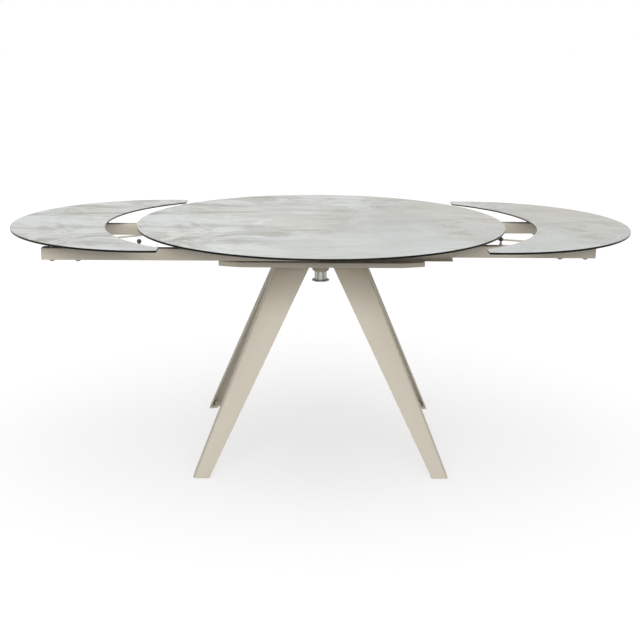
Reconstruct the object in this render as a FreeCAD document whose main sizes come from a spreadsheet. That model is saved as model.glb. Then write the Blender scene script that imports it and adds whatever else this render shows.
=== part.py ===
# Extending dining table: a round top with two crescent leaves that slide out on telescopic beams,
# on four folded-sheet legs. Millimetres, +Z up, origin on the floor under the centre of the top.
# The table looks the same after half a turn about its vertical axis, so each right-hand piece is
# made like its left-hand twin and turned by half a turn.
import FreeCAD, Part
import Sketcher
import math
import os

V = FreeCAD.Vector
HALF_TURN = 180
UP = V(0, 0, 1)

# Driving sizes: name, value in millimetres, what it is.
SIZES = (
    # Top
    ("table_height", 760, "floor to the top of the disc"),
    ("disc_radius", 600, "round fixed top"),
    ("ceramic_thick", 3, "ceramic sheet of disc and leaves"),
    ("glass_thick", 4, "dark glass under the ceramic"),
    ("edge_chamfer", 0.8, "polished chamfer on the ceramic"),
    # Leaves
    ("leaf_drop", 3.2, "leaf surface below the disc, drawn out"),
    ("leaf_gap", 103, "open gap between disc and leaf in the middle, drawn out"),
    ("leaf_wide", 304, "leaf at its middle"),
    ("tip_gap", 48, "inner corner of a tip beyond the disc's rim"),
    ("tip_wide", 47, "blunt end of a leaf"),
    ("leaf_hidden", 3, "outer arc inside the disc's rim, pushed in"),
    ("leaf_sink", 26.3, "drop of the leaf while it slides in"),
    # Lift guides between a leaf and its two beams
    ("shoe_thick", 2, "plate glued under the leaf"),
    ("shoe_long", 130, ""),
    ("shoe_wide", 40, ""),
    ("guide_inset", 30, "outer guide from the end of the beam"),
    ("guide_pitch", 80, "inner guide to outer guide"),
    ("pin_radius", 5, "guide pin under the shoe"),
    ("pin_gap", 1, "pin above the bottom of its bush when sunk"),
    ("bush_wall", 3, ""),
    ("bush_flange", 1.5, "thickness of the flange on the beam"),
    ("flange_lip", 3, "flange radius beyond the bush"),
    ("stop_gap", 0.5, "shoe above the flange when sunk"),
    ("dome_radius", 10, "domed lower end of a guide"),
    ("dome_height", 6.5, ""),
    ("running_fit", 0.05, "radial play of pins and studs"),
    ("free_gap", 0.3, "play between bodies that slide"),
    # Beams
    ("beam_wide", 29, ""),
    ("beam_height", 37.5, ""),
    ("beam_wall", 2, ""),
    ("beam_short", 5, "beam end inside the far end of the rails, pushed in"),
    ("beam_tail", 7, "beam end beyond the crossbar"),
    ("cap_thick", 3, "plastic end cap"),
    # Rails
    ("rail_inset", 190, "rail end inside the disc's rim"),
    ("rail_offset", 214.5, "table centre to the back of the rails"),
    ("rail_wide", 17.5, "one channel"),
    ("rail_wall", 2.5, ""),
    ("rail_below", 1.5, "rail top below the beam top"),
    ("beam_lift", 5, "beam underside above the base plate"),
    ("beam_clear", 1.5, "side play between channel and beam"),
    # Runners in the rails
    ("runner_stop", 5, "runner end inside the rail end, drawn out"),
    ("runner_height", 28, ""),
    ("runner_back", 0.5, "runner clear of the web"),
    ("glider_long", 40, "nylon shoe at each end of a runner"),
    # Crossbar of a carriage
    ("crossbar_wide", 30, ""),
    ("crossbar_height", 25, ""),
    ("crossbar_wall", 2, ""),
    ("crossbar_foot", 8, "crossbar underside above the beam underside"),
    ("crossbar_gap", 8, "crossbar clear of the rail end, pushed in"),
    # Ball rests on the beams
    ("ball_inset", 35, "ball inside the disc's rim"),
    ("ball_radius", 7.2, ""),
    ("ball_rise", 20, "ball centre above the beam"),
    ("stem_radius", 1.5, ""),
    ("stem_foot_radius", 4, ""),
    ("stem_foot_height", 4, ""),
    # Disc support
    ("top_plate_thick", 4, ""),
    ("top_plate_edge", 8, "plate beyond the posts"),
    ("post_place", 190, "table centre to a post"),
    ("post_long", 28, ""),
    ("post_wide", 34, ""),
    ("screw_radius", 3, ""),
    ("screw_head_radius", 6, ""),
    ("screw_head_height", 3, ""),
    ("screw_long", 20, ""),
    # Folded base plate
    ("plate_half_long", 322, ""),
    ("plate_rim", 26, "plate beyond the rails, along the width"),
    ("corner_cut_long", 70, "slanted corner along the length"),
    ("corner_cut_wide", 21, "slanted corner along the width"),
    ("plate_deep", 16, "folded rim"),
    ("plate_wall", 3, ""),
    # Legs
    ("leg_foot_x", 402, "fold of the leg at the foot"),
    ("leg_foot_y", 364, ""),
    ("leg_top_y", 114, "fold of the leg under the plate"),
    ("leg_top_longer", 15, "the same fold further out along the length"),
    ("leg_foot_wide", 50.6, "one flange at the foot"),
    ("leg_top_gap", 4, "flange of a leg from the middle of the plate"),
    ("leg_wall", 5, ""),
    ("fold_radius", 8, "outside of the fold"),
    # Leg caps and bolts
    ("gusset_long", 60, "cap inside the top of a leg"),
    ("gusset_thick", 5, ""),
    ("gusset_cut", 4, "corner of caps and foot plates clear of the fold"),
    ("bolt_inset", 20, "bolt from the inner faces of the leg"),
    ("bolt_radius", 4, ""),
    ("bolt_head_radius", 7, ""),
    ("bolt_head_height", 4, ""),
    ("nut_radius", 6.5, ""),
    ("nut_height", 6.5, ""),
    # Feet
    ("foot_plate_long", 46, ""),
    ("foot_plate_thick", 8, ""),
    ("glide_inset", 13, "glide from the edges of the foot plate"),
    ("glide_radius", 8, ""),
    ("glide_thick", 4.7, ""),
    ("stud_radius", 4, ""),
    ("stud_long", 17.3, ""),
    # Central pivot
    ("tube_radius", 28, ""),
    ("tube_long", 78, ""),
    ("tube_chamfer", 5, ""),
    ("spindle_radius", 10, ""),
    ("spindle_collar", 14, "radius of the part that carries the lever"),
    ("spindle_end", 10, "spindle above its nut's underside"),
    ("bearing_wall", 5, "nylon bearing"),
    ("bearing_long", 20, ""),
    ("hole_play", 2, "plate hole round the spindle"),
    ("sleeve_radius", 20, ""),
    ("sleeve_long", 27.7, ""),
    ("pivot_flange_radius", 29, ""),
    ("pivot_flange_thick", 4.5, ""),
    ("low_nut_radius", 15, ""),
    ("low_nut_height", 3.5, ""),
    ("lever_nut_radius", 17, ""),
    ("lever_nut_height", 9, ""),
    # Lever and rods that link the two leaves
    ("lever_x", 206, "lever pin, leaves drawn out"),
    ("lever_y", 65.2, ""),
    ("lever_above", 2.5, "lever above the beams"),
    ("lever_thick", 5, ""),
    ("lever_half_wide", 12, ""),
    ("hub_radius", 24, ""),
    ("lever_pin_radius", 5, ""),
    ("rod_radius", 3, ""),
    ("rod_above", 13, "inner end of a rod above the lever"),
    ("rod_rise", 8, "outer end of a rod above the underside of the beams"),
    ("rod_inset", 13, "outer end of a rod from the crossbar"),
    ("rod_outer_y", 3, ""),
    ("eye_radius", 7, ""),
    ("eye_height", 10, ""),
    ("lug_thick", 3, ""),
    ("lug_half_wide", 15, ""),
    ("lug_nose", 12, "lug beyond the stud"),
    ("rod_cap_radius", 6, ""),
    ("rod_cap_height", 2, ""),
    ("overrun", 1, "cutters beyond the faces they open"),
)

doc = FreeCAD.newDocument("ExtendingTable")
sheet = doc.addObject("Spreadsheet::Sheet", "sizes")
subparts = []


# A size is a number together with the sheet expression that gives it, so that a feature can be
# drawn in place and bound to the sheet by one value.
class Size:
    def __init__(self, value, text):
        self.value = value
        self.text = text

    def __add__(self, other):
        return Size(self.value + number(other), f"({self.text} + {words(other)})")

    def __radd__(self, other):
        return Size(number(other) + self.value, f"({words(other)} + {self.text})")

    def __sub__(self, other):
        return Size(self.value - number(other), f"({self.text} - {words(other)})")

    def __mul__(self, other):
        return Size(self.value * number(other), f"({self.text} * {words(other)})")

    def __truediv__(self, other):
        return Size(self.value / number(other), f"({self.text} / {words(other)})")

    def __neg__(self):
        return Size(-self.value, f"(-{self.text})")


def number(item):
    return item.value if isinstance(item, Size) else float(item)


def words(item):
    return item.text if isinstance(item, Size) else repr(float(item))


def root(item):
    return Size(math.sqrt(item.value), f"sqrt({item.text})")


def slope(rise, run):
    """The angle in degrees of a rise over a run."""
    angle = math.degrees(math.atan2(rise.value, run.value))
    return Size(angle, f"atan2({rise.text}; {run.text})")


def bind(item, prop, size):
    """Binds a property to the sheet; a bare zero needs no binding."""
    if isinstance(size, Size):
        item.setExpression(prop, size.text)


def place(item, x=0, y=0, z=0, turn=0):
    """Moves an object, and turns it about the vertical by a fixed angle."""
    item.Placement = FreeCAD.Placement(V(number(x), number(y), number(z)), FreeCAD.Rotation(UP, turn))
    for axis, size in (("x", x), ("y", y), ("z", z)):
        bind(item, "Placement.Base." + axis, size)


# Part primitives

def box(name, x, y, z):
    """A block between a low and a high plane on each axis."""
    item = doc.addObject("Part::Box", name)
    place(item, x[0], y[0], z[0])
    for side, (low, high) in (("Length", x), ("Width", y), ("Height", z)):
        bind(item, side, high - low)
    return item


def pin(name, x, y, z, radius):
    """An upright cylinder between two heights."""
    item = doc.addObject("Part::Cylinder", name)
    place(item, x, y, z[0])
    bind(item, "Radius", radius)
    bind(item, "Height", z[1] - z[0])
    return item


def cone(name, x, y, z, low_radius, high_radius):
    item = doc.addObject("Part::Cone", name)
    place(item, x, y, z[0])
    bind(item, "Radius1", low_radius)
    bind(item, "Radius2", high_radius)
    bind(item, "Height", z[1] - z[0])
    return item


def ball(name, x, y, z, radius):
    item = doc.addObject("Part::Sphere", name)
    place(item, x, y, z)
    bind(item, "Radius", radius)
    return item


def fuse(name, items):
    item = doc.addObject("Part::MultiFuse", name)
    item.Shapes = items
    return item


def cut(name, base, tools):
    item = doc.addObject("Part::Cut", name)
    item.Base = base
    item.Tool = tools[0] if len(tools) == 1 else fuse(name + "_tools", tools)
    return item


def common(name, base, tool):
    item = doc.addObject("Part::Common", name)
    item.Base = base
    item.Tool = tool
    return item


def subpart(label, items, turn=0):
    """Keeps one named piece, or one group of like pieces, turned with its side of the table."""
    item = doc.addObject("Part::Compound", label)
    item.Links = items
    item.Placement = FreeCAD.Placement(V(0, 0, 0), FreeCAD.Rotation(UP, turn))
    item.Label = label
    subparts.append(item)
    return item


# PartDesign bodies

def body(label, turn=0, x=0, y=0, z=0):
    item = doc.addObject("PartDesign::Body", label)
    item.Label = label
    place(item, x, y, z, turn)
    subparts.append(item)
    return item


def sketch(owner, name, role, offset=0):
    """An empty sketch on one of the body's own planes, moved along the plane's normal."""
    plane = [item for item in owner.Origin.OriginFeatures if item.Role == role][0]
    item = owner.newObject("Sketcher::SketchObject", name)
    item.AttachmentSupport = [(plane, "")]
    item.MapMode = "FlatFace"
    item.AttachmentOffset = FreeCAD.Placement(V(0, 0, number(offset)), FreeCAD.Rotation())
    bind(item, "AttachmentOffset.Base.z", offset)
    return item


def fix(item, kind, *where, size):
    """Adds one dimension to a sketch and binds it."""
    index = item.addConstraint(Sketcher.Constraint(kind, *where, number(size)))
    if isinstance(size, Size):
        item.setExpression(f"Constraints[{index}]", size.text)


EDGE_POINTS = ("whole edge", "start", "end", "centre")
START, END, CENTRE = (EDGE_POINTS.index(name) for name in ("start", "end", "centre"))


def outline(item, points, arcs=None):
    """A closed outline through the points; arcs gives, by the index of the point where the run
    starts, the centre and radius of each run that is an arc instead of a line."""
    arcs = arcs or {}
    first = item.GeometryCount
    ends = []
    for index, point in enumerate(points):
        here = V(number(point[0]), number(point[1]), 0)
        after = points[(index + 1) % len(points)]
        there = V(number(after[0]), number(after[1]), 0)
        if index not in arcs:
            item.addGeometry(Part.LineSegment(here, there), False)
            ends.append((START, END))
            continue
        middle = V(number(arcs[index][0]), number(arcs[index][1]), 0)
        clockwise = (here - middle).cross(there - middle).z < 0
        low, high = (there, here) if clockwise else (here, there)
        angles = [math.atan2(place.y - middle.y, place.x - middle.x) for place in (low, high)]
        circle = Part.Circle(middle, UP, number(arcs[index][2]))
        item.addGeometry(Part.ArcOfCircle(circle, *angles), False)
        ends.append((END, START) if clockwise else (START, END))
    for index, (start, end) in enumerate(ends):
        after = (index + 1) % len(ends)
        joint = (first + index, end, first + after, ends[after][0])
        item.addConstraint(Sketcher.Constraint("Coincident", *joint))
    for index, point in enumerate(points):
        where = (first + index, ends[index][0])
        fix(item, "DistanceX", *where, size=point[0])
        fix(item, "DistanceY", *where, size=point[1])
    for index, (_, _, radius) in arcs.items():
        fix(item, "Radius", first + index, size=radius)


def circles(item, places, radius):
    """Circles of one radius, such as holes."""
    for x, y in places:
        index = item.GeometryCount
        item.addGeometry(Part.Circle(V(number(x), number(y), 0), UP, number(radius)), False)
        for kind, size in (("DistanceX", x), ("DistanceY", y)):
            fix(item, kind, index, CENTRE, size=size)
        fix(item, "Radius", index, size=radius)


def pad(owner, profile, length):
    item = owner.newObject("PartDesign::Pad", "Pad")
    item.Profile = profile
    bind(item, "Length", length)
    owner.Tip = item
    return item


def pocket(owner, profile, length):
    """Cuts upwards from a sketch that lies on the underside."""
    item = owner.newObject("PartDesign::Pocket", "Pocket")
    item.Profile = profile
    item.Reversed = True
    bind(item, "Length", length)
    owner.Tip = item
    return item


def turned(label, rings, x=0, y=0, z=0):
    """A piece turned on a lathe: its half outline as radius and height."""
    owner = body(label, 0, x, y, z)
    profile = sketch(owner, "Profile", "XZ_Plane")
    outline(profile, rings)
    item = owner.newObject("PartDesign::Revolution", "Revolution")
    item.Profile = profile
    item.ReferenceAxis = (profile, ["V_Axis"])
    owner.Tip = item
    return owner


def chamfer_top(owner, base, size):
    """Chamfers the rim of the upper face."""
    doc.recompute()
    top = max(range(len(base.Shape.Faces)), key=lambda i: base.Shape.Faces[i].CenterOfMass.z)
    item = owner.newObject("PartDesign::Chamfer", "Chamfer")
    item.Base = (base, [f"Face{top + 1}"])
    bind(item, "Size", size)
    owner.Tip = item


class Sizes:
    """The sheet's sizes by name."""


S = Sizes()
for row, (name, value, _) in enumerate(SIZES, 1):
    sheet.set(f"A{row}", name)
    sheet.set(f"B{row}", str(value))
    sheet.setAlias(f"B{row}", name)
    setattr(S, name, Size(float(value), "sizes." + name))
doc.recompute()

# Heights, from the top down
disc_under = S.table_height - S.ceramic_thick - S.glass_thick
leaf_top = S.table_height - S.leaf_drop
leaf_under = leaf_top - S.ceramic_thick - S.glass_thick
shoe_under = leaf_under - S.shoe_thick
beam_top = shoe_under - S.leaf_sink - S.bush_flange - S.stop_gap
beam_under = beam_top - S.beam_height
rail_top = beam_top - S.rail_below
plate_top = beam_under - S.beam_lift
plate_under = plate_top - S.plate_wall
post_top = disc_under - S.top_plate_thick
crossbar_under = beam_under + S.crossbar_foot
lever_under = beam_top + S.lever_above
lever_top = lever_under + S.lever_thick
rod_high = lever_top + S.rod_above
rod_low = beam_under + S.rod_rise
leg_under = S.glide_thick + S.free_gap

# Distances from the middle of the table. The places of a tip's inner corner, along and across,
# are shares of its distance from the middle.
TIP_ALONG_SHARE, TIP_ACROSS_SHARE = 0.747, 0.6648
tip_reach = S.disc_radius + S.tip_gap
leaf_tip = tip_reach * TIP_ALONG_SHARE
hollow_half = tip_reach * TIP_ACROSS_SHARE
hollow_reach = S.disc_radius + S.leaf_gap
leaf_reach = hollow_reach + S.leaf_wide
leaf_travel = leaf_reach - S.disc_radius + S.leaf_hidden
rail_end = S.disc_radius - S.rail_inset
crossbar_inner = rail_end + S.crossbar_gap + leaf_travel
crossbar_outer = crossbar_inner + S.crossbar_wide
beam_outer = crossbar_outer + S.beam_tail
beam_inner = leaf_travel - rail_end + S.beam_short
beam_shift = S.rail_wide + S.beam_clear + S.beam_wide / 2
far_beam = S.rail_offset + beam_shift
near_beam = S.rail_offset - beam_shift
guide_outer = beam_outer - S.guide_inset
guide_places = (guide_outer - S.guide_pitch, guide_outer)
ball_place = S.disc_radius - S.ball_inset
rod_outer_x = crossbar_inner - S.rod_inset
plate_half_wide = S.rail_offset + S.rail_wide + S.plate_rim
leg_top_x = S.leg_top_y + S.leg_top_longer
leg_top_wide = S.leg_top_y - S.leg_top_gap

SIDES = (("left", 0), ("right", HALF_TURN))
CORNERS = (("front_left", -1, -1), ("front_right", 1, -1), ("rear_left", -1, 1), ("rear_right", 1, 1))


# Disc: ceramic on dark glass

def disc(label, height, thick):
    owner = body(label, 0, 0, 0, height)
    profile = sketch(owner, "Profile", "XY_Plane")
    circles(profile, [(0, 0)], S.disc_radius)
    return owner, pad(owner, profile, thick)


chamfer_top(*disc("disc_ceramic", disc_under + S.glass_thick, S.ceramic_thick), S.edge_chamfer)
disc("disc_glass", disc_under, S.glass_thick)


# Leaves: a crescent between its outer arc and a hollow, with blunt ends

def leaf(label, turn, height, thick):
    owner = body(label, turn, 0, 0, height)
    profile = sketch(owner, "Profile", "XY_Plane")
    rims = ((leaf_reach, hollow_half + S.tip_wide), (hollow_reach, hollow_half))
    for reach, half in rims:
        rise = reach - leaf_tip
        radius = (half * half + rise * rise) / (rise * 2)
        centre = radius - reach
        angle = math.atan2(half.value, -(centre + leaf_tip).value)
        circle = Part.Circle(V(centre.value, 0, 0), UP, radius.value)
        arc = profile.addGeometry(Part.ArcOfCircle(circle, angle, 2 * math.pi - angle), False)
        profile.addConstraint(Sketcher.Constraint("PointOnObject", arc, CENTRE, -1))
        fix(profile, "DistanceX", arc, CENTRE, size=centre)
        fix(profile, "Radius", arc, size=radius)
    for sign, end in ((1, START), (-1, END)):
        ends = [V(-leaf_tip.value, sign * half.value, 0) for _, half in rims]
        line = profile.addGeometry(Part.LineSegment(*ends), False)
        for arc, corner in enumerate((START, END)):
            profile.addConstraint(Sketcher.Constraint("Coincident", arc, end, line, corner))
            fix(profile, "DistanceX", line, corner, size=-leaf_tip)
    return owner, pad(owner, profile, thick)


for side, turn in SIDES:
    ceramic = leaf(f"leaf_{side}_ceramic", turn, leaf_under + S.glass_thick, S.ceramic_thick)
    chamfer_top(*ceramic, S.edge_chamfer)
    leaf(f"leaf_{side}_glass", turn, leaf_under, S.glass_thick)

# Top plate, its posts on the rails, and its countersunk screws
post_centres = [(S.post_place * x, S.rail_offset * y) for _, x, y in CORNERS]
plate_half_x = S.post_place + S.post_long / 2 + S.top_plate_edge
plate_half_y = S.rail_offset + S.post_wide / 2


def top_screw(name, x, y):
    head_under = disc_under - S.screw_head_height
    head = cone(name + "_head", x, y, (head_under, disc_under), S.screw_radius, S.screw_head_radius)
    shank = pin(name + "_shank", x, y, (disc_under - S.screw_long, head_under), S.screw_radius)
    return fuse(name, [head, shank])


sheet_block = box("top_sheet", (-plate_half_x, plate_half_x), (-plate_half_y, plate_half_y), (post_top, disc_under))
sheet_holes = [top_screw("top_hole", x, y) for x, y in post_centres]
subpart("top_plate", [cut("top_plate_cut", sheet_block, sheet_holes)])
posts = []
for x, y in post_centres:
    half_x, half_y = S.post_long / 2, S.post_wide / 2
    block = box("post", (x - half_x, x + half_x), (y - half_y, y + half_y), (rail_top, post_top))
    hole = pin("post_hole", x, y, (disc_under - S.screw_long, disc_under), S.screw_radius)
    posts.append(cut("post_cut", block, [hole]))
subpart("support_posts", posts)
subpart("top_plate_screws", [top_screw("top_screw", x, y) for x, y in post_centres])

# Rails: two channels back to back on each side, each open towards the beam that it carries
for place_name, row in (("front", -1), ("rear", 1)):
    for face_name, way in (("outer", row), ("inner", -row)):
        back = S.rail_offset * row
        edges = [back, back + S.rail_wide * way]
        hollow = [back + S.rail_wall * way, back + (S.rail_wide + S.overrun) * way]
        if way < 0:
            edges.reverse()
            hollow.reverse()
        bar = box("rail", (-rail_end, rail_end), edges, (plate_top, rail_top))
        inside = (plate_top + S.rail_wall, rail_top - S.rail_wall)
        reach = rail_end + S.overrun
        groove = box("rail_groove", (-reach, reach), hollow, inside)
        subpart(f"rail_{place_name}_{face_name}", [cut("rail_cut", bar, [groove])])


# Base plate: a tray folded from sheet, open below, with slanted corners

def mirrored(corner_points):
    """The points of one quarter, given anticlockwise, and their three mirror images."""
    turned_back = list(reversed(corner_points))
    quarters = ((corner_points, 1, 1), (turned_back, -1, 1), (corner_points, -1, -1), (turned_back, 1, -1))
    return [(x * sign_x, y * sign_y) for points, sign_x, sign_y in quarters for x, y in points]


corner_long = root(S.corner_cut_long * S.corner_cut_long + S.corner_cut_wide * S.corner_cut_wide)
corner_x = S.plate_half_long - S.corner_cut_long
corner_y = plate_half_wide - S.corner_cut_wide
inner_x = corner_x - S.plate_wall * (corner_long - S.corner_cut_long) / S.corner_cut_wide
inner_y = corner_y - S.plate_wall * (corner_long - S.corner_cut_wide) / S.corner_cut_long
bolt_x = leg_top_x - S.leg_wall - S.bolt_inset
bolt_y = S.leg_top_y - S.leg_wall - S.bolt_inset
bolt_places = [(bolt_x * x, bolt_y * y) for _, x, y in CORNERS]

tray = body("base_plate", 0, 0, 0, plate_top - S.plate_deep)
profile = sketch(tray, "Outline", "XY_Plane")
outline(profile, mirrored([(S.plate_half_long, corner_y), (corner_x, plate_half_wide)]))
pad(tray, profile, S.plate_deep)
profile = sketch(tray, "Hollow", "XY_Plane")
inner_corner = [(S.plate_half_long - S.plate_wall, inner_y), (inner_x, plate_half_wide - S.plate_wall)]
outline(profile, mirrored(inner_corner))
pocket(tray, profile, S.plate_deep - S.plate_wall)
profile = sketch(tray, "Holes", "XY_Plane")
circles(profile, bolt_places, S.bolt_radius)
circles(profile, [(0, 0)], S.spindle_radius + S.hole_play)
pocket(tray, profile, S.plate_deep + S.overrun)


# Legs: tapered sheet folded to an angle, from the glides up to the underside of the plate

def angle_profile(item, x, y, sign_x, sign_y, wide):
    """The angle section with its fold at x, y and its flanges towards the middle."""
    wall, bend, inside = S.leg_wall, S.fold_radius, S.fold_radius - S.leg_wall
    steps = ((wide, 0), (bend, 0), (0, bend), (0, wide), (wall, wide), (wall, bend), (bend, wall), (wide, wall))
    points = [((x - along) * sign_x, (y - across) * sign_y) for along, across in steps]
    middle = ((x - bend) * sign_x, (y - bend) * sign_y)
    outline(item, points, {1: (*middle, bend), 5: (*middle, inside)})


for corner, sign_x, sign_y in CORNERS:
    owner = body(f"leg_{corner}", 0, 0, 0, leg_under)
    low = sketch(owner, "Foot", "XY_Plane")
    angle_profile(low, S.leg_foot_x, S.leg_foot_y, sign_x, sign_y, S.leg_foot_wide)
    high = sketch(owner, "Top", "XY_Plane", plate_under - leg_under)
    angle_profile(high, leg_top_x, S.leg_top_y, sign_x, sign_y, leg_top_wide)
    shape = owner.newObject("PartDesign::AdditiveLoft", "Loft")
    shape.Profile = (low, [""])
    shape.Sections = [(high, [""])]
    shape.Ruled = True
    owner.Tip = shape


# Flat gussets inside the legs: foot plates below, bolted caps above

def gusset(x, y, sign_x, sign_y, size, z, hole_inset, hole_radius):
    """A triangle that fills the angle of a leg, clear of its fold, with one hole."""
    fold = (x * sign_x, y * sign_y, S.gusset_cut)
    far = ((x - size) * sign_x, (y - size) * sign_y, size)
    block = box("gusset_block", span(x - size, x, sign_x), span(y - size, y, sign_y), z)
    tools = [pin("gusset_hole", (x - hole_inset) * sign_x, (y - hole_inset) * sign_y, z, hole_radius)]
    return cut("gusset", block, tools + [diamond(*corner_cut, z) for corner_cut in (fold, far)])


def span(low, high, sign):
    """Two planes, mirrored where the sign is negative, lower one first."""
    return (low, high) if sign > 0 else (-high, -low)


def diamond(x, y, reach, z):
    """A square on its corner, whose corners are one reach from its middle."""
    side = reach * math.sqrt(2)
    block = doc.addObject("Part::Box", "diamond")
    bind(block, "Length", side)
    bind(block, "Width", side)
    bind(block, "Height", z[1] - z[0])
    place(block, x, y - reach, z[0], HALF_TURN / 4)
    return block


foot_top = leg_under + S.foot_plate_thick
rise_share = S.foot_plate_thick / (plate_under - leg_under)
foot_x = S.leg_foot_x - (S.leg_foot_x - leg_top_x) * rise_share - S.leg_wall
foot_y = S.leg_foot_y - (S.leg_foot_y - S.leg_top_y) * rise_share - S.leg_wall
cap_x, cap_y = leg_top_x - S.leg_wall, S.leg_top_y - S.leg_wall
cap_under = plate_under - S.gusset_thick
caps = []
for corner, x, y in CORNERS:
    stud_hole = S.stud_radius + S.running_fit
    plate = gusset(foot_x, foot_y, x, y, S.foot_plate_long, (leg_under, foot_top), S.glide_inset, stud_hole)
    subpart(f"foot_plate_{corner}", [plate])
    caps.append(gusset(cap_x, cap_y, x, y, S.gusset_long, (cap_under, plate_under), S.bolt_inset, S.bolt_radius))
    place_x, place_y = (foot_x - S.glide_inset) * x, (foot_y - S.glide_inset) * y
    stud_top = S.glide_thick + S.stud_long
    pad_disc = pin("glide_pad", place_x, place_y, (0, S.glide_thick), S.glide_radius)
    stud = pin("glide_stud", place_x, place_y, (S.glide_thick, stud_top), S.stud_radius)
    subpart(f"glide_{corner}", [fuse("glide", [pad_disc, stud])])
subpart("leg_caps", caps)
bolts = []
for x, y in bolt_places:
    shank = pin("bolt_shank", x, y, (cap_under - S.nut_height, plate_top), S.bolt_radius)
    head = pin("bolt_head", x, y, (plate_top, plate_top + S.bolt_head_height), S.bolt_head_radius)
    nut = pin("bolt_nut", x, y, (cap_under - S.nut_height, cap_under), S.nut_radius)
    bolts.append(fuse("bolt", [shank, head, nut]))
subpart("leg_bolts", bolts)

# Central pivot: a tube under the plate, two bearings, and the spindle with its sleeve and flange
bore = S.spindle_radius + S.bearing_wall
tube_under = plate_under - S.tube_long
tube_rings = [(bore, tube_under), (S.tube_radius - S.tube_chamfer, tube_under)]
tube_rings += [(S.tube_radius, tube_under + S.tube_chamfer), (S.tube_radius, plate_under), (bore, plate_under)]
turned("bearing_tube", tube_rings)
bearings = []
for low in (tube_under, plate_under - S.bearing_long):
    z = (low, low + S.bearing_long)
    hole = pin("bearing_bore", 0, 0, z, S.spindle_radius + S.running_fit)
    bearings.append(cut("bearing", pin("bearing_block", 0, 0, z, bore), [hole]))
subpart("spindle_bushes", bearings)
sleeve_top = tube_under - S.free_gap
sleeve_under = sleeve_top - S.sleeve_long
flange_under = sleeve_under - S.pivot_flange_thick
spindle_low = flange_under - S.low_nut_height
spindle_top = lever_top + S.spindle_end
collar_under = plate_top + S.free_gap
spindle_rings = [(0, spindle_low), (S.spindle_radius, spindle_low), (S.spindle_radius, collar_under)]
spindle_rings += [(S.spindle_collar, collar_under), (S.spindle_collar, lever_under)]
spindle_rings += [(S.spindle_radius, lever_under), (S.spindle_radius, spindle_top), (0, spindle_top)]
turned("spindle", spindle_rings)


def ring(name, z, radius, hole):
    return cut(name, pin(name + "_block", 0, 0, z, radius), [pin(name + "_hole", 0, 0, z, hole)])


subpart("spindle_sleeve", [ring("sleeve", (sleeve_under, sleeve_top), S.sleeve_radius, S.spindle_radius)])
flange_size = (S.pivot_flange_radius, S.spindle_radius)
subpart("spindle_flange", [ring("flange", (flange_under, sleeve_under), *flange_size)])
low_nut = ring("low_nut", (spindle_low, flange_under), S.low_nut_radius, S.spindle_radius)
lever_nut_top = lever_top + S.lever_nut_height
lever_nut = ring("lever_nut", (lever_top, lever_nut_top), S.lever_nut_radius, S.spindle_radius)
subpart("spindle_nuts", [low_nut, lever_nut])

# Lever on the spindle, drawn along X and turned to its pins
lever_reach = root(S.lever_x * S.lever_x + S.lever_y * S.lever_y)
lever_z = (lever_under, lever_top)
bar = box("lever_bar", (-lever_reach, lever_reach), (-S.lever_half_wide, S.lever_half_wide), lever_z)
ends = [pin("lever_end", lever_reach * sign, 0, lever_z, S.lever_half_wide) for sign in (-1, 1)]
hub = pin("lever_hub", 0, 0, lever_z, S.hub_radius)
holes = [pin("lever_hole", lever_reach * sign, 0, lever_z, S.lever_pin_radius) for sign in (-1, 1)]
holes.append(pin("lever_bore", 0, 0, lever_z, S.spindle_radius))
lever = cut("lever", fuse("lever_blank", [bar, hub] + ends), holes)
lever_angle = -slope(S.lever_y, S.lever_x)
lever.Placement = FreeCAD.Placement(V(0, 0, 0), FreeCAD.Rotation(UP, lever_angle.value))
bind(lever, "Placement.Rotation.Angle", lever_angle)
subpart("sync_lever", [lever])
eye_under = rod_high - S.eye_height / 2
pin_z = (lever_under, eye_under - S.free_gap)
pins = [pin("lever_pin", S.lever_x * x, S.lever_y * -x, pin_z, S.lever_pin_radius) for x in (-1, 1)]
subpart("lever_pins", pins)


# Carriages: two beams with their crossbar, runners, ball rests and lift guides

def beam_holes(y):
    """What passes through a beam: its guide bushes and the thread of its ball rest."""
    bush = S.pin_radius + S.bush_wall
    z = (beam_under - S.overrun, beam_top + S.overrun)
    tools = [pin("bush_hole", -x, y, z, bush) for x in guide_places]
    stem_z = (beam_top - S.beam_wall - S.overrun, beam_top + S.overrun)
    return tools + [pin("stem_hole", -ball_place, y, stem_z, S.stem_radius)]


def beam(y):
    x = (S.cap_thick - beam_outer, -beam_inner - S.cap_thick)
    half, wall = S.beam_wide / 2, S.beam_wall
    block = box("beam_block", x, (y - half, y + half), (beam_under, beam_top))
    inside_x = (x[0] - S.overrun, x[1] + S.overrun)
    inside = box("beam_inside", inside_x, (y - half + wall, y + half - wall), (beam_under + wall, beam_top - wall))
    return cut("beam", block, [inside] + beam_holes(y))


def end_caps(y):
    half = S.beam_wide / 2
    places = ((-beam_outer, S.cap_thick - beam_outer), (-beam_inner - S.cap_thick, -beam_inner))
    return [box("end_cap", x, (y - half, y + half), (beam_under, beam_top)) for x in places]


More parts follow.
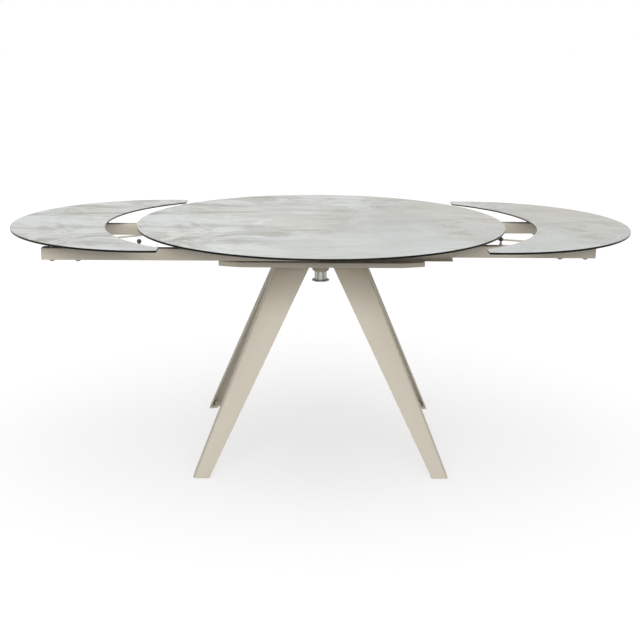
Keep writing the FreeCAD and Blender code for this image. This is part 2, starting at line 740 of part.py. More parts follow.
def runner_parts(y, way):
    """The bar on the side of a beam that runs in the channel, and its two nylon gliders."""
    face = y + S.beam_wide / 2 * way
    web = S.rail_wide + S.beam_clear - S.rail_wall
    bar_y = [face, face + (web - S.runner_back) * way]
    glider_y = [face, face + (web - S.free_gap) * way]
    if way < 0:
        bar_y.reverse()
        glider_y.reverse()
    middle = (plate_top + rail_top) / 2
    half = S.runner_height / 2
    outer = S.runner_stop - rail_end
    bar = (outer + S.glider_long, -beam_inner - S.glider_long)
    runner = box("runner", bar, bar_y, (middle - half, middle + half))
    glider_z = (plate_top + S.rail_wall + S.free_gap, rail_top - S.rail_wall - S.free_gap)
    places = ((outer, bar[0]), (bar[1], -beam_inner))
    return runner, [box("glider", x, glider_y, glider_z) for x in places]


def guide_bush(x, y):
    outer = S.pin_radius + S.bush_wall
    tube = pin("bush_tube", x, y, (beam_under, beam_top), outer)
    flange = pin("bush_flange", x, y, (beam_top, beam_top + S.bush_flange), outer + S.flange_lip)
    hole = pin("bush_bore", x, y, (beam_under, beam_top + S.bush_flange), S.pin_radius + S.running_fit)
    return cut("bush", fuse("bush_blank", [tube, flange]), [hole])


def guide_dome(x, y):
    """A spherical cap under the beam that closes the bush."""
    squares = S.dome_radius * S.dome_radius + S.dome_height * S.dome_height
    radius = squares / (S.dome_height * 2)
    low = beam_under - S.dome_height
    slab = box("dome_slab", (x - radius, x + radius), (y - radius, y + radius), (low - S.overrun, beam_under))
    return common("dome", ball("dome_ball", x, y, low + radius, radius), slab)


def ball_rest(y):
    x = -ball_place
    centre = beam_top + S.ball_rise
    stem = pin("stem", x, y, (beam_top - S.beam_wall, centre), S.stem_radius)
    foot_z = (beam_top, beam_top + S.stem_foot_height)
    foot = cone("stem_foot", x, y, foot_z, S.stem_foot_radius, S.stem_radius)
    return fuse("ball_rest", [stem, foot, ball("ball", x, y, centre, S.ball_radius)])


def crossbar(front, rear):
    """The tube between the beams, with the lug and stud that carry the rod's outer end."""
    half, wall = S.beam_wide / 2, S.crossbar_wall
    x, y = (-crossbar_outer, -crossbar_inner), (front + half, rear - half)
    z = (crossbar_under, crossbar_under + S.crossbar_height)
    block = box("crossbar_block", x, y, z)
    inside_y = (y[0] - S.overrun, y[1] + S.overrun)
    inside = box("crossbar_inside", (x[0] + wall, x[1] - wall), inside_y, (z[0] + wall, z[1] - wall))
    stud_x, stud_y = -rod_outer_x, -S.rod_outer_y
    eye_low, eye_high = rod_low - S.eye_height / 2, rod_low + S.eye_height / 2
    lug_top = eye_low - S.free_gap
    lug_y = (stud_y - S.lug_half_wide, stud_y + S.lug_half_wide)
    block_under = box("lug_block", x, lug_y, (lug_top - S.lug_thick, crossbar_under))
    plate = box("lug_plate", (x[0], stud_x + S.lug_nose), lug_y, (lug_top - S.lug_thick, lug_top))
    cap_low = eye_high + S.free_gap
    stud = pin("rod_stud", stud_x, stud_y, (lug_top, cap_low), S.stud_radius)
    cap = pin("rod_cap", stud_x, stud_y, (cap_low, cap_low + S.rod_cap_height), S.rod_cap_radius)
    return fuse("crossbar", [cut("crossbar_tube", block, [inside]), block_under, plate, stud, cap])


def rod(turn):
    """The slanted rod with an eye at each end, drawn along X from its outer eye."""
    reach_x, reach_y = rod_outer_x - S.lever_x, S.rod_outer_y + S.lever_y
    level = root(reach_x * reach_x + reach_y * reach_y)
    rise = rod_high - rod_low
    bar = doc.addObject("Part::Cylinder", "rod_bar")
    bind(bar, "Radius", S.rod_radius)
    bind(bar, "Height", root(level * level + rise * rise))
    tilt = slope(level, rise)
    bar.Placement = FreeCAD.Placement(V(0, 0, rod_low.value), FreeCAD.Rotation(V(0, 1, 0), tilt.value))
    bind(bar, "Placement.Rotation.Angle", tilt)
    bind(bar, "Placement.Base.z", rod_low)
    half = S.eye_height / 2
    outer_z = (rod_low - half, rod_low + half)
    outer_eye = pin("rod_eye", 0, 0, outer_z, S.eye_radius)
    inner_eye = pin("rod_end", level, 0, (rod_high - half, rod_high + half), S.eye_radius)
    hole_z = (outer_z[0] - S.overrun, outer_z[1] + S.overrun)
    hole = pin("rod_bore", 0, 0, hole_z, S.stud_radius + S.running_fit)
    item = cut("rod", fuse("rod_blank", [bar, outer_eye, inner_eye]), [hole])
    angle = slope(reach_y, reach_x)
    item.Placement = FreeCAD.Placement(V(0, 0, 0), FreeCAD.Rotation(UP, angle.value))
    bind(item, "Placement.Rotation.Angle", angle)
    bind(item, "Placement.Base.x", -rod_outer_x)
    bind(item, "Placement.Base.y", -S.rod_outer_y)
    return item


for side, turn in SIDES:
    front, rear = -far_beam, near_beam
    rows = (front, rear)
    subpart(f"beam_{side}_front" if turn == 0 else f"beam_{side}_rear", [beam(front)], turn)
    subpart(f"beam_{side}_rear" if turn == 0 else f"beam_{side}_front", [beam(rear)], turn)
    subpart(f"crossbar_{side}", [crossbar(front, rear)], turn)
    runners = [runner_parts(row, 1) for row in rows]
    subpart(f"runners_{side}", [runner for runner, _ in runners], turn)
    subpart(f"gliders_{side}", [glider for _, pair in runners for glider in pair], turn)
    subpart(f"end_caps_{side}", [cap for row in rows for cap in end_caps(row)], turn)
    guides = [(-x, row) for row in rows for x in guide_places]
    subpart(f"guide_bushes_{side}", [guide_bush(x, y) for x, y in guides], turn)
    subpart(f"guide_domes_{side}", [guide_dome(x, y) for x, y in guides], turn)
    subpart(f"ball_rests_{side}", [ball_rest(row) for row in rows], turn)
    subpart(f"rod_{side}", [rod(turn)], turn)
    middle = guide_outer - S.guide_pitch / 2
    shoe_x = (-middle - S.shoe_long / 2, S.shoe_long / 2 - middle)
    half = S.shoe_wide / 2
    shoes = [box("shoe", shoe_x, (row - half, row + half), (shoe_under, leaf_under)) for row in rows]
    subpart(f"lift_shoes_{side}", shoes, turn)
    pin_heights = (beam_under + S.leaf_sink + S.pin_gap, shoe_under)
    subpart(f"lift_pins_{side}", [pin("lift_pin", x, y, pin_heights, S.pin_radius) for x, y in guides], turn)

doc.recompute()

# Every object has to be sound before anything is written
for item in doc.Objects:
    if "Invalid" in item.State or "Error" in item.State:
        raise RuntimeError(f"{item.Name} failed: {item.State}")
for item in subparts:
    if item.Shape.isNull() or not item.Shape.isValid():
        raise RuntimeError(f"{item.Label} has no sound shape")

os.makedirs("parts", exist_ok=True)
for item in subparts:
    item.Shape.exportStep(os.path.join("parts", item.Label + ".step"))
    print(f"{item.Label}: {len(item.Shape.Solids)} solid(s), {item.Shape.Volume:.0f} mm3")
print(len(subparts), "sub-parts")
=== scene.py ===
# Extending dining table, dressed: pale marbled ceramic on black glass over powder-coated steel.
# Metres, +Z up, origin on the floor under the centre of the round top; azimuth 0 looks along +Y.
# Sizes are written in millimetres and turned into metres where a mesh is made.
import bmesh
import bpy
from math import atan2, cos, hypot, pi, radians, sin, tan
from mathutils import Matrix, Vector


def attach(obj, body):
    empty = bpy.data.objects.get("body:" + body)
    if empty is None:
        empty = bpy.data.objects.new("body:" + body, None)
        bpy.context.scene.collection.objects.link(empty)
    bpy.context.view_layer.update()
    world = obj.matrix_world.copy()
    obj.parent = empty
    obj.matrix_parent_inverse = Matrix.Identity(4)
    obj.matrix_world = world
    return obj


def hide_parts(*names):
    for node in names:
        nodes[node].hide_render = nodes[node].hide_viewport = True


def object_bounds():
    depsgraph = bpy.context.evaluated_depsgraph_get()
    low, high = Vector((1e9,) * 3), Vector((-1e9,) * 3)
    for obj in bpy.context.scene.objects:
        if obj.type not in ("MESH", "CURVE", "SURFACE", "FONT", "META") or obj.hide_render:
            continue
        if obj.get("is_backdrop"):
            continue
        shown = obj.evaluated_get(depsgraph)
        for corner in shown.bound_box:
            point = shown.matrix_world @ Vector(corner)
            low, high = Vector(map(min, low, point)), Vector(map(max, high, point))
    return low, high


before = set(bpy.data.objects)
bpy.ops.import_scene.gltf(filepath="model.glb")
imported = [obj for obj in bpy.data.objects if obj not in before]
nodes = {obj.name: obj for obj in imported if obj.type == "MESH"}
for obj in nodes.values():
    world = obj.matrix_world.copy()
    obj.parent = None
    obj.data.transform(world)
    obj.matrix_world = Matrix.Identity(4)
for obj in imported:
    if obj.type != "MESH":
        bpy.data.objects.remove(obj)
cad_low, cad_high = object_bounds()
scene = bpy.context.scene
MM = 0.001
# The left side is drawn, and turned half about for the right side
SIDES = (("left", 1), ("right", -1))
CORNERS = (("front_left", -1, -1), ("front_right", 1, -1), ("rear_left", -1, 1),
           ("rear_right", 1, 1))

# Sizes of the table, as in the CAD; the chamfer and the black pads on the beam tops, painted shade
# under the leaves, are the scene's own
DISC_RADIUS, DISC_TOP, LEAF_TOP = 600.0, 760.0, 756.8
CERAMIC, GLASS, CHAMFER, CHAMFER_WIDE = 3.0, 4.0, 0.8, 1.8
TIP_X, HOLLOW_HALF, TIP_HALF = 484.056, 430.79, 477.79
HOLLOW_REACH, LEAF_REACH = 703.0, 1007.0
BEAM_WIDE, BEAM_LOW, BEAM_TOP, BEAM_IN, BEAM_OUT = 29.0, 682.0, 719.5, 5.0, 865.0
TUBE_WALL, CAP, PLUG, PLUG_GAP = 2.0, 3.0, 15.0, 0.3
ROWS = (-248.0, 181.0)
ROW_GAP = (ROWS[0] + BEAM_WIDE / 2, ROWS[1] - BEAM_WIDE / 2)
GUIDES, BUSH_BORE, DOME_DEEP, PIN_LOW = (-755.0, -835.0), 5.05, 6.5, 709.3
SHOE_X, SHOE_HALF, SHOE_LOW, SHOE_TOP = (-860.0, -730.0), 20.0, 747.8, 749.8
# Black pads on the beam tops: painted shade under the leaf tips
SHADE_PAD_X, SHADE_PAD_HALF, SHADE_PAD = (-862.0, -728.0), 13.0, 1.2
RAIL_BACK, RAIL_WIDE, RAIL_WALL, RAIL_END, RAIL_TOP = 214.5, 17.5, 2.5, 410.0, 718.0
PLATE_LONG, PLATE_WIDE, PLATE_LOW, PLATE_UNDER, PLATE_TOP = 322.0, 258.0, 661.0, 674.0, 677.0
PLATE_CUT = (70.0, 21.0)
# A leg's fold, the width of its flanges and the level, at the foot and at the top
LEG_FOOT, LEG_TOP = (402.0, 364.0, 50.6, 5.0), (129.0, 114.0, 110.0, 674.0)
LEG_WALL, LEG_BEND = 5.0, 8.0
POST, POST_HALF = (190.0, 214.5), (14.0, 17.0)
CROSSBAR_X, CROSSBAR_Z = (-858.0, -828.0), (690.0, 715.0)
LUG_Y, LUG_END, LUG_LOW = (-18.0, 12.0), -803.0, 681.7
LEVER_PIN, LEVER_PIN_TOP, LEVER_LOW, LEVER_TOP = (206.0, 65.2), 734.7, 722.0, 727.0
ROD_OUT, ROD_HIGH, ROD_LOW = (815.0, 3.0), 740.0, 690.0
ROD_RADIUS, NECK, NECK_END, NUT = 3.0, 6.2, 20.0, 4.0
BALL_X, BALL_UP, BALL_RADIUS = -565.0, 20.0, 7.2
TUBE_RADIUS, TUBE_LOW, SLEEVE_TOP, SLEEVE_LOW, FLANGE_LOW = 28.0, 596.0, 595.7, 568.0, 563.5
SLEEVE_RADIUS, GROOVE, FLANGE_RADIUS = 20.0, 580.5, 29.0
SPINDLE_RADIUS, SPINDLE_LOW, SPINDLE_TOP = 10.0, 560.0, 737.0
BOLT, BOLT_LOW, BOLT_NUT, PITCH = (104.0, 89.0), 662.5, 663.5, 1.25
GLIDE = (380.735, 343.01)

# Welds: level, near and far end and corner of those in each leg; the stitches along the rails
LEG_WELDS = ((13.0, 7.0, 38.0, 392.875, 355.175), (669.0, 7.0, 50.0, 124.0, 109.0))
STITCHES, STITCH = (-270, -150, -30, 90, 210), 40


# Shader helpers
def new_group(name, inputs, outputs, kind="ShaderNodeTree"):
    """A node group and its input sockets; each has a name, a type, perhaps a value."""
    group = bpy.data.node_groups.new(name, kind)
    for way, sockets in (("INPUT", inputs), ("OUTPUT", outputs)):
        for label, sort, *value in sockets:
            socket = group.interface.new_socket(label, in_out=way, socket_type="NodeSocket" + sort)
            if value:
                socket.default_value = value[0]
    return group, add(group, "NodeGroupInput").outputs


def connect(tree, value, node, key):
    """Links a socket to an input, or sets the input to a value."""
    socket = node.inputs[key.replace("_", " ") if isinstance(key, str) else key]
    if isinstance(value, bpy.types.NodeSocket):
        tree.links.new(value, socket)
    else:
        socket.default_value = value


def feed(tree, node, **values):
    """Sets or links a node's properties and inputs, by their names."""
    for key, value in values.items():
        if hasattr(node, key) and key not in node.inputs:
            setattr(node, key, value)
        else:
            connect(tree, value, node, key)
    return node


def add(tree, kind, **values):
    return feed(tree, tree.nodes.new(kind), **values)


def maths(tree, operation, first, second=0.0, clamp=False):
    node = add(tree, "ShaderNodeMath", operation=operation, use_clamp=clamp)
    connect(tree, first, node, 0)
    connect(tree, second, node, 1)
    return node.outputs[0]


def times(tree, first, second):
    return maths(tree, "MULTIPLY", first, second)


def plus(tree, first, second, clamp=False):
    return maths(tree, "ADD", first, second, clamp)


def ramp(tree, fac, stops):
    """A colour ramp through (place, grey or colour) stops."""
    node = add(tree, "ShaderNodeValToRGB")
    points = node.color_ramp.elements
    while len(points) < len(stops):
        points.new(0.5)
    for point, (place, colour) in zip(points, stops):
        point.position = place
        point.color = (*(colour if isinstance(colour, tuple) else (colour,) * 3), 1.0)
    connect(tree, fac, node, 0)
    return node.outputs[0]


def blend(tree, fac, first, second):
    """Mixes two colours, each a socket or three numbers."""
    node = add(tree, "ShaderNodeMix", data_type="RGBA")
    for index, value in ((0, fac), (6, first), (7, second)):
        connect(tree, (*value, 1.0) if isinstance(value, tuple) else value, node, index)
    return node.outputs[2]


def noise(tree, vector, scale, detail=3.0, rough=0.5, distort=0.0):
    return add(tree, "ShaderNodeTexNoise", Vector=vector, Scale=scale, Detail=detail,
               Roughness=rough, Distortion=distort).outputs["Fac"]


def stretched(tree, vector, scale, place=(0.0, 0.0, 0.0), turn=0.0):
    return add(tree, "ShaderNodeMapping", Vector=vector, Scale=scale, Location=place,
               Rotation=(0.0, 0.0, turn)).outputs[0]


def material(name):
    """A material with its Principled shader and the object coordinates."""
    item = bpy.data.materials.new(name)
    item.use_nodes = True
    tree = item.node_tree
    place = add(tree, "ShaderNodeTexCoord").outputs["Object"]
    return item, tree, tree.nodes["Principled BSDF"], place


def use(tree, group, **values):
    return add(tree, "ShaderNodeGroup", node_tree=group, **values)


def closed(group, **results):
    """Links a group's results to its outputs and hands the group back."""
    add(group, "NodeGroupOutput", **results)
    return group


def bumped(tree, shader, height, distance):
    node = add(tree, "ShaderNodeBump", Height=height, Distance=distance, Strength=1.0)
    feed(tree, shader, Normal=node.outputs[0])


# Shared effects
def soiling_group():
    """Faint smudges and dust: a roughness that wanders and a colour that lightens a little."""
    group, given = new_group(
        "Handling marks",
        [("Vector", "Vector"), ("Base", "Color"), ("Roughness", "Float", 0.5),
         ("Amount", "Float", 0.1), ("Scale", "Float", 12.0)],
        [("Color", "Color"), ("Roughness", "Float")])
    broad = noise(group, given["Vector"], given["Scale"], 4.0, 0.6, 0.4)
    near = stretched(group, given["Vector"], (14.0, 14.0, 14.0))
    fine = noise(group, near, given["Scale"], 3.0, 0.6)
    wander = maths(group, "SUBTRACT", plus(group, broad, times(group, fine, 0.4)), 0.7)
    shift = times(group, wander, given["Amount"])
    lighter = times(group, plus(group, shift, 0.0, True), 0.5)
    colour = blend(group, lighter, given["Base"], (0.8, 0.79, 0.77))
    return closed(group, Color=colour, Roughness=plus(group, given["Roughness"], shift, True))


def coat_group():
    """Powder coat: an orange-peel height and fine speckle in the colour."""
    group, given = new_group(
        "Powder coat grain",
        [("Vector", "Vector"), ("Base", "Color"), ("Peel", "Float", 900.0),
         ("Speckle", "Float", 0.1)],
        [("Color", "Color"), ("Height", "Float")])
    peel = noise(group, given["Vector"], given["Peel"], 2.0)
    grain = noise(group, given["Vector"], times(group, given["Peel"], 3.0), 2.0)
    cloud = noise(group, given["Vector"], 9.0)
    dark = times(group, ramp(group, grain, [(0.3, 1.0), (0.5, 0.0)]), given["Speckle"])
    pale = times(group, maths(group, "SUBTRACT", cloud, 0.5), 0.12)
    colour = blend(group, dark, given["Base"], (0.12, 0.11, 0.09))
    colour = blend(group, plus(group, pale, 0.0, True), colour, (0.9, 0.88, 0.84))
    return closed(group, Color=colour, Height=plus(group, peel, times(group, grain, 0.3)))


def moulded_group():
    """Fine spark-eroded grain of moulded plastic and rubber."""
    group, given = new_group(
        "Moulded grain", [("Vector", "Vector"), ("Scale", "Float", 1800.0)], [("Height", "Float")])
    grain = add(group, "ShaderNodeTexVoronoi", Vector=given["Vector"], Scale=given["Scale"])
    soft = noise(group, given["Vector"], 400.0, 2.0)
    height = plus(group, grain.outputs["Distance"], times(group, soft, 0.5))
    return closed(group, Height=height)


def marble_group():
    """Pale brushed marble: cloudy grey and taupe patches, feathered white ones laid over them,
    strokes drawn out along X, fine veins, and a calm plain field towards the front right."""
    group, given = new_group(
        "Pale marble", [("Vector", "Vector"), ("Shift", "Vector", (0.0, 0.0, 0.0))],
        [("Color", "Color"), ("Polish", "Float")])
    moved = add(group, "ShaderNodeVectorMath")
    for index, label in enumerate(("Vector", "Shift")):
        connect(group, given[label], moved, index)
    place = moved.outputs[0]
    along, across = add(group, "ShaderNodeSeparateXYZ", Vector=place).outputs[:2]

    def field(source, scale, start, detail, rough=0.5, distort=0.0, turn=0.0, stops=None):
        """Noise on a sheet that is stretched, shifted and turned, and its ramp if it has one."""
        drawn = stretched(group, source, (*scale, 1.0), (*start, 0.0), turn)
        cloud = noise(group, drawn, 1.0, detail, rough, distort)
        return ramp(group, cloud, stops) if stops else cloud

    def laid(mask, strength, under, tone):
        """A tone laid over what is there, where the mask shows it."""
        return blend(group, times(group, mask, strength), under, tone)

    # How calm the stone is: plain in front and to the right, busy behind and to the left
    calm = plus(group, times(group, along, 1.5), times(group, across, -0.75))
    calm = plus(group, calm, noise(group, place, 3.0, 4.0, 0.6))
    calm = ramp(group, calm, [(0.30, 0.0), (0.75, 1.0)])
    busy = maths(group, "SUBTRACT", 1.0, times(group, calm, 0.72))

    # Warp the sheet so that patches run in slow waves and strokes sway
    warp = add(group, "ShaderNodeTexNoise", Vector=place, Scale=2.4, Detail=4.0, Roughness=0.6)

    def swayed(strength):
        pushed = add(group, "ShaderNodeVectorMath", operation="MULTIPLY_ADD")
        for index, value in enumerate((warp.outputs["Color"], strength, place)):
            connect(group, value, pushed, index)
        return pushed.outputs[0]

    wave, sway = swayed((0.34, 0.30, 0.0)), swayed((0.32, 0.22, 0.0))

    # Clouds, from taupe grey to pale grey
    colour = field(wave, (2.1, 2.9), (0.4, 0.2), 9.0, 0.62, 0.4, stops=[
        (0.36, (0.430, 0.435, 0.395)), (0.46, (0.550, 0.562, 0.522)),
        (0.55, (0.630, 0.648, 0.618)), (0.68, (0.730, 0.748, 0.725))])
    colour = laid(calm, 0.70, colour, (0.585, 0.590, 0.558))

    # Warm cream behind on the right, cool white on the left
    lean = plus(group, times(group, along, 0.16), times(group, across, 0.12))
    lean = plus(group, lean, field(place, (1.5, 2.1), (2.0, 9.0), 4.0))
    warm, cool = (ramp(group, lean, stops) for stops in (
        [(0.50, 0.0), (0.66, 1.0)], [(0.34, 1.0), (0.46, 0.0)]))
    colour = laid(warm, 0.55, colour, (0.690, 0.660, 0.595))
    colour = laid(cool, 0.45, colour, (0.640, 0.680, 0.680))

    # White patches with brushed, feathered edges
    patch = field(wave, (3.6, 3.2), (1.3, 5.1), 12.0, 0.70, 0.8, 0.35,
                  [(0.50, 0.0), (0.545, 0.80), (0.62, 1.0)])
    colour = laid(times(group, patch, busy), 0.80, colour, (0.790, 0.815, 0.805))

    # Strokes drawn out along X: grey ones, white ones and thin grey lines
    grey = field(sway, (2.2, 8.5), (7.7, 4.2), 9.0, 0.66, 0.8, 0.10,
                 [(0.51, 0.0), (0.57, 0.60), (0.66, 1.0)])
    colour = laid(times(group, grey, busy), 0.78, colour, (0.385, 0.380, 0.335))
    white = field(sway, (3.8, 9.5), (3.1, 1.7), 12.0, 0.74, 0.9, -0.22,
                  [(0.53, 0.0), (0.59, 0.65), (0.67, 1.0)])
    white = times(group, white, busy)
    colour = laid(white, 0.74, colour, (0.830, 0.845, 0.830))
    lines = field(sway, (2.4, 30.0), (0.3, 9.4), 6.0, 0.60, 0.6, 0.0, [(0.55, 0.0), (0.63, 1.0)])
    colour = laid(times(group, lines, busy), 0.30, colour, (0.400, 0.395, 0.350))

    # Small flecks where the brush lifted, shown only here and there
    fleck = field(wave, (34.0, 46.0), (0.0, 0.0), 4.0, 0.6, 1.5, 0.0, [(0.60, 0.0), (0.70, 1.0)])
    some = field(place, (3.0, 3.0), (4.0, 8.0), 2.0, stops=[(0.48, 0.0), (0.62, 1.0)])
    colour = laid(times(group, fleck, some), 0.50, colour, (0.850, 0.855, 0.840))

    # Veins: thin lines where a slow noise crosses its middle, shown only here and there
    slow = field(wave, (1.7, 3.4), (11.0, 6.0), 6.0, 0.6, 0.5)
    line = maths(group, "ABSOLUTE", maths(group, "SUBTRACT", slow, 0.5))
    vein = ramp(group, line, [(0.0, 1.0), (0.008, 0.55), (0.022, 0.0)])
    some = field(place, (2.2, 2.2), (5.0, 2.0), 2.0, stops=[(0.48, 0.0), (0.60, 1.0)])
    colour = laid(times(group, vein, some), 0.50, colour, (0.420, 0.370, 0.290))
    return closed(group, Color=colour, Polish=times(group, white, 0.05))


SOILING, COAT, MOULDED, MARBLE = soiling_group(), coat_group(), moulded_group(), marble_group()


# Materials
def marked(tree, shader, place, base, rough, amount, scale, specular=0.5):
    """Handling marks over a base colour, which feed the shader's colour and roughness."""
    marks = use(tree, SOILING, Vector=place, Base=base, Roughness=rough, Amount=amount, Scale=scale)
    feed(tree, shader, Base_Color=marks.outputs["Color"], Roughness=marks.outputs["Roughness"],
         Specular_IOR_Level=specular)
    return marks


def ceramic(name, shift):
    """Marbled face of a ceramic sheet, matt with a faint stone grain."""
    item, tree, shader, place = material(name)
    marble = use(tree, MARBLE, Vector=place, Shift=shift)
    marks = marked(tree, shader, place, marble.outputs["Color"], 0.60, 0.10, 6.0, 0.22)
    rough = maths(tree, "SUBTRACT", marks.outputs["Roughness"], marble.outputs["Polish"])
    feed(tree, shader, Roughness=rough)
    bumped(tree, shader, noise(tree, place, 700.0), 0.00004)
    return item


def dark_layer(name, colour, rough, amount, specular, ground=False):
    """The dark ceramic seen on the ground edge, or the polished black glass."""
    item, tree, shader, place = material(name)
    marked(tree, shader, place, (*colour, 1.0), rough, amount, 9.0, specular)
    if ground:
        bumped(tree, shader, noise(tree, place, 1500.0, 2.0), 0.00003)
    return item


def coated(name, colour, rough=0.52):
    item, tree, shader, place = material(name)
    coat = use(tree, COAT, Vector=place, Base=(*colour, 1.0), Peel=900.0, Speckle=0.10)
    marked(tree, shader, place, coat.outputs["Color"], rough, 0.10, 10.0, 0.4)
    bumped(tree, shader, coat.outputs["Height"], 0.00006)
    return item


def plated(name, colour, rough):
    """Plated turned steel with fine rings along its upright axis."""
    item, tree, shader, place = material(name)
    rings = noise(tree, stretched(tree, place, (30.0, 30.0, 2600.0)), 1.0, 3.0, 0.6)
    cloud = noise(tree, place, 90.0, 4.0, 0.6)
    tone = ramp(tree, cloud, [(0.3, tuple(0.82 * part for part in colour)), (0.7, colour)])
    marked(tree, shader, place, tone, rough, 0.16, 40.0)
    feed(tree, shader, Metallic=1.0)
    bumped(tree, shader, rings, 0.00003)
    return item


def moulded(name, colour, rough=0.5):
    item, tree, shader, place = material(name)
    grain = use(tree, MOULDED, Vector=place, Scale=1800.0)
    marked(tree, shader, place, (*colour, 1.0), rough, 0.16, 60.0)
    bumped(tree, shader, grain.outputs["Height"], 0.00008)
    return item


# Each look: its material, its slot, and how the names of the CAD nodes that have it begin
LOOKS = {
    "disc": (ceramic("Marbled ceramic disc", (0.0, 0.0, 0.0)), "ceramic_top", "disc_ceramic"),
    "left": (ceramic("Marbled ceramic left leaf", (0.43, 0.02, 0.0)), "ceramic_top",
             "leaf_left_ceramic"),
    "right": (ceramic("Marbled ceramic right leaf", (-0.40, 0.03, 0.0)), "ceramic_top",
              "leaf_right_ceramic"),
    "edge": (dark_layer("Dark ceramic edge", (0.004, 0.004, 0.004), 0.34, 0.06, 0.10, True),
             "ceramic_top"),
    "glass": (dark_layer("Black backing glass", (0.004, 0.0045, 0.0045), 0.18, 0.08, 0.12),
              "dark_glass", "disc_glass", "leaf_left_glass", "leaf_right_glass"),
    # The hidden work takes the taupe coat at half its brightness: painted shade for the parts under
    # the top
    "work": (coated("Taupe powder coat darkened as painted shade on hidden work", (0.300, 0.270, 0.220), 0.58),
             "coated_steel_dark", "runners", "sync_lever", "lift_shoes", "guide_domes"),
    "dark zinc": (plated("Dark plated steel", (0.56, 0.56, 0.53), 0.46), "coated_steel_dark",
                  "spindle_flange"),
    "black": (moulded("Black moulded plastic", (0.020, 0.020, 0.020)), "black_plastic",
              "glide_", "ball_rests", "guide_bushes"),
    "taupe plastic": (moulded("Taupe moulded plastic", (0.50, 0.455, 0.375)), "taupe_plastic",
                      "end_caps"),
    "nylon": (moulded("Natural nylon", (0.68, 0.66, 0.60), 0.42), "nylon",
              "gliders", "spindle_bushes"),
    "zinc": (plated("Zinc-plated steel", (0.76, 0.79, 0.77), 0.50), "zinc_steel",
             "spindle", "leg_bolts", "top_plate_screws", "lift_pins", "lever_pins"),
    "coat": (coated("Taupe powder coat", (0.600, 0.545, 0.450)), "coated_steel", ""),
}

# Nodes that nothing replaces keep their own mesh; the first look whose names fit dresses them
for name, item in nodes.items():
    item.data.materials.clear()
    item.data.materials.append(
        next(made for made, _, *starts in LOOKS.values() if name.startswith(tuple(starts))))


# Mesh helpers: closed forms skinned from rings, in millimetres
# Where an outline's u and v and its level w go, by the axis on which the level lies
AXES = {"X": lambda u, v, w: (w, u, v), "Y": lambda u, v, w: (v, w, u),
        "Z": lambda u, v, w: (u, v, w)}


def corners_of(points):
    """Each point of an outline, with the directions to the points before and after it."""
    points = [Vector(point) for point in points]
    for before, here, after in zip(points[-1:] + points[:-1], points, points[1:] + points[:1]):
        yield here, (before - here).normalized(), (after - here).normalized()


def rounded(points, radius, steps=4):
    """A polygon with its corners rounded."""
    out = []
    for here, back, ahead in corners_of(points):
        half = back.angle(ahead) / 2
        middle = here + (back + ahead).normalized() * (radius / sin(half))
        first = here + back * (radius / tan(half)) - middle
        last = here + ahead * (radius / tan(half)) - middle
        start = atan2(first.y, first.x)
        sweep = (atan2(last.y, last.x) - start + pi) % (2 * pi) - pi
        for step in range(steps + 1):
            angle = start + sweep * step / steps
            out.append(middle + Vector((cos(angle), sin(angle))) * radius)
    return out


def inset(points, depth):
    """An anticlockwise outline moved inwards."""
    out = []
    for here, back, ahead in corners_of(points):
        left, right = Vector((back.y, -back.x)), Vector((-ahead.y, ahead.x))
        middle = (left + right).normalized()
        out.append(here + middle * (depth / max(0.3, middle.dot(left))))
    return out


def ring(outline, depth, level, axis="Z"):
    """An outline moved inwards and set at a level of an axis."""
    return [AXES[axis](point.x, point.y, level) for point in inset(outline, depth)]


def circle(radius, steps=64, x=0.0, y=0.0):
    turns = [2 * pi * step / steps for step in range(steps)]
    return [Vector((x + radius * cos(turn), y + radius * sin(turn))) for turn in turns]


def oblong(u, v, depth=0.0):
    """The corners of a box outline, moved inwards."""
    u, v = (u[0] + depth, u[1] - depth), (v[0] + depth, v[1] - depth)
    return [Vector(point) for point in ((u[0], v[0]), (u[1], v[0]), (u[1], v[1]), (u[0], v[1]))]


def box(u, v, radius, depth=0.0, steps=4):
    return rounded(oblong(u, v, depth), radius, steps)


def hexagon(radius, parts=6):
    """A hexagon with each side divided."""
    corners = [Vector((cos(pi * k / 3), sin(pi * k / 3))) * radius for k in range(6)]
    return [corner.lerp(corners[(index + 1) % 6], part / parts)
            for index, corner in enumerate(corners) for part in range(parts)]


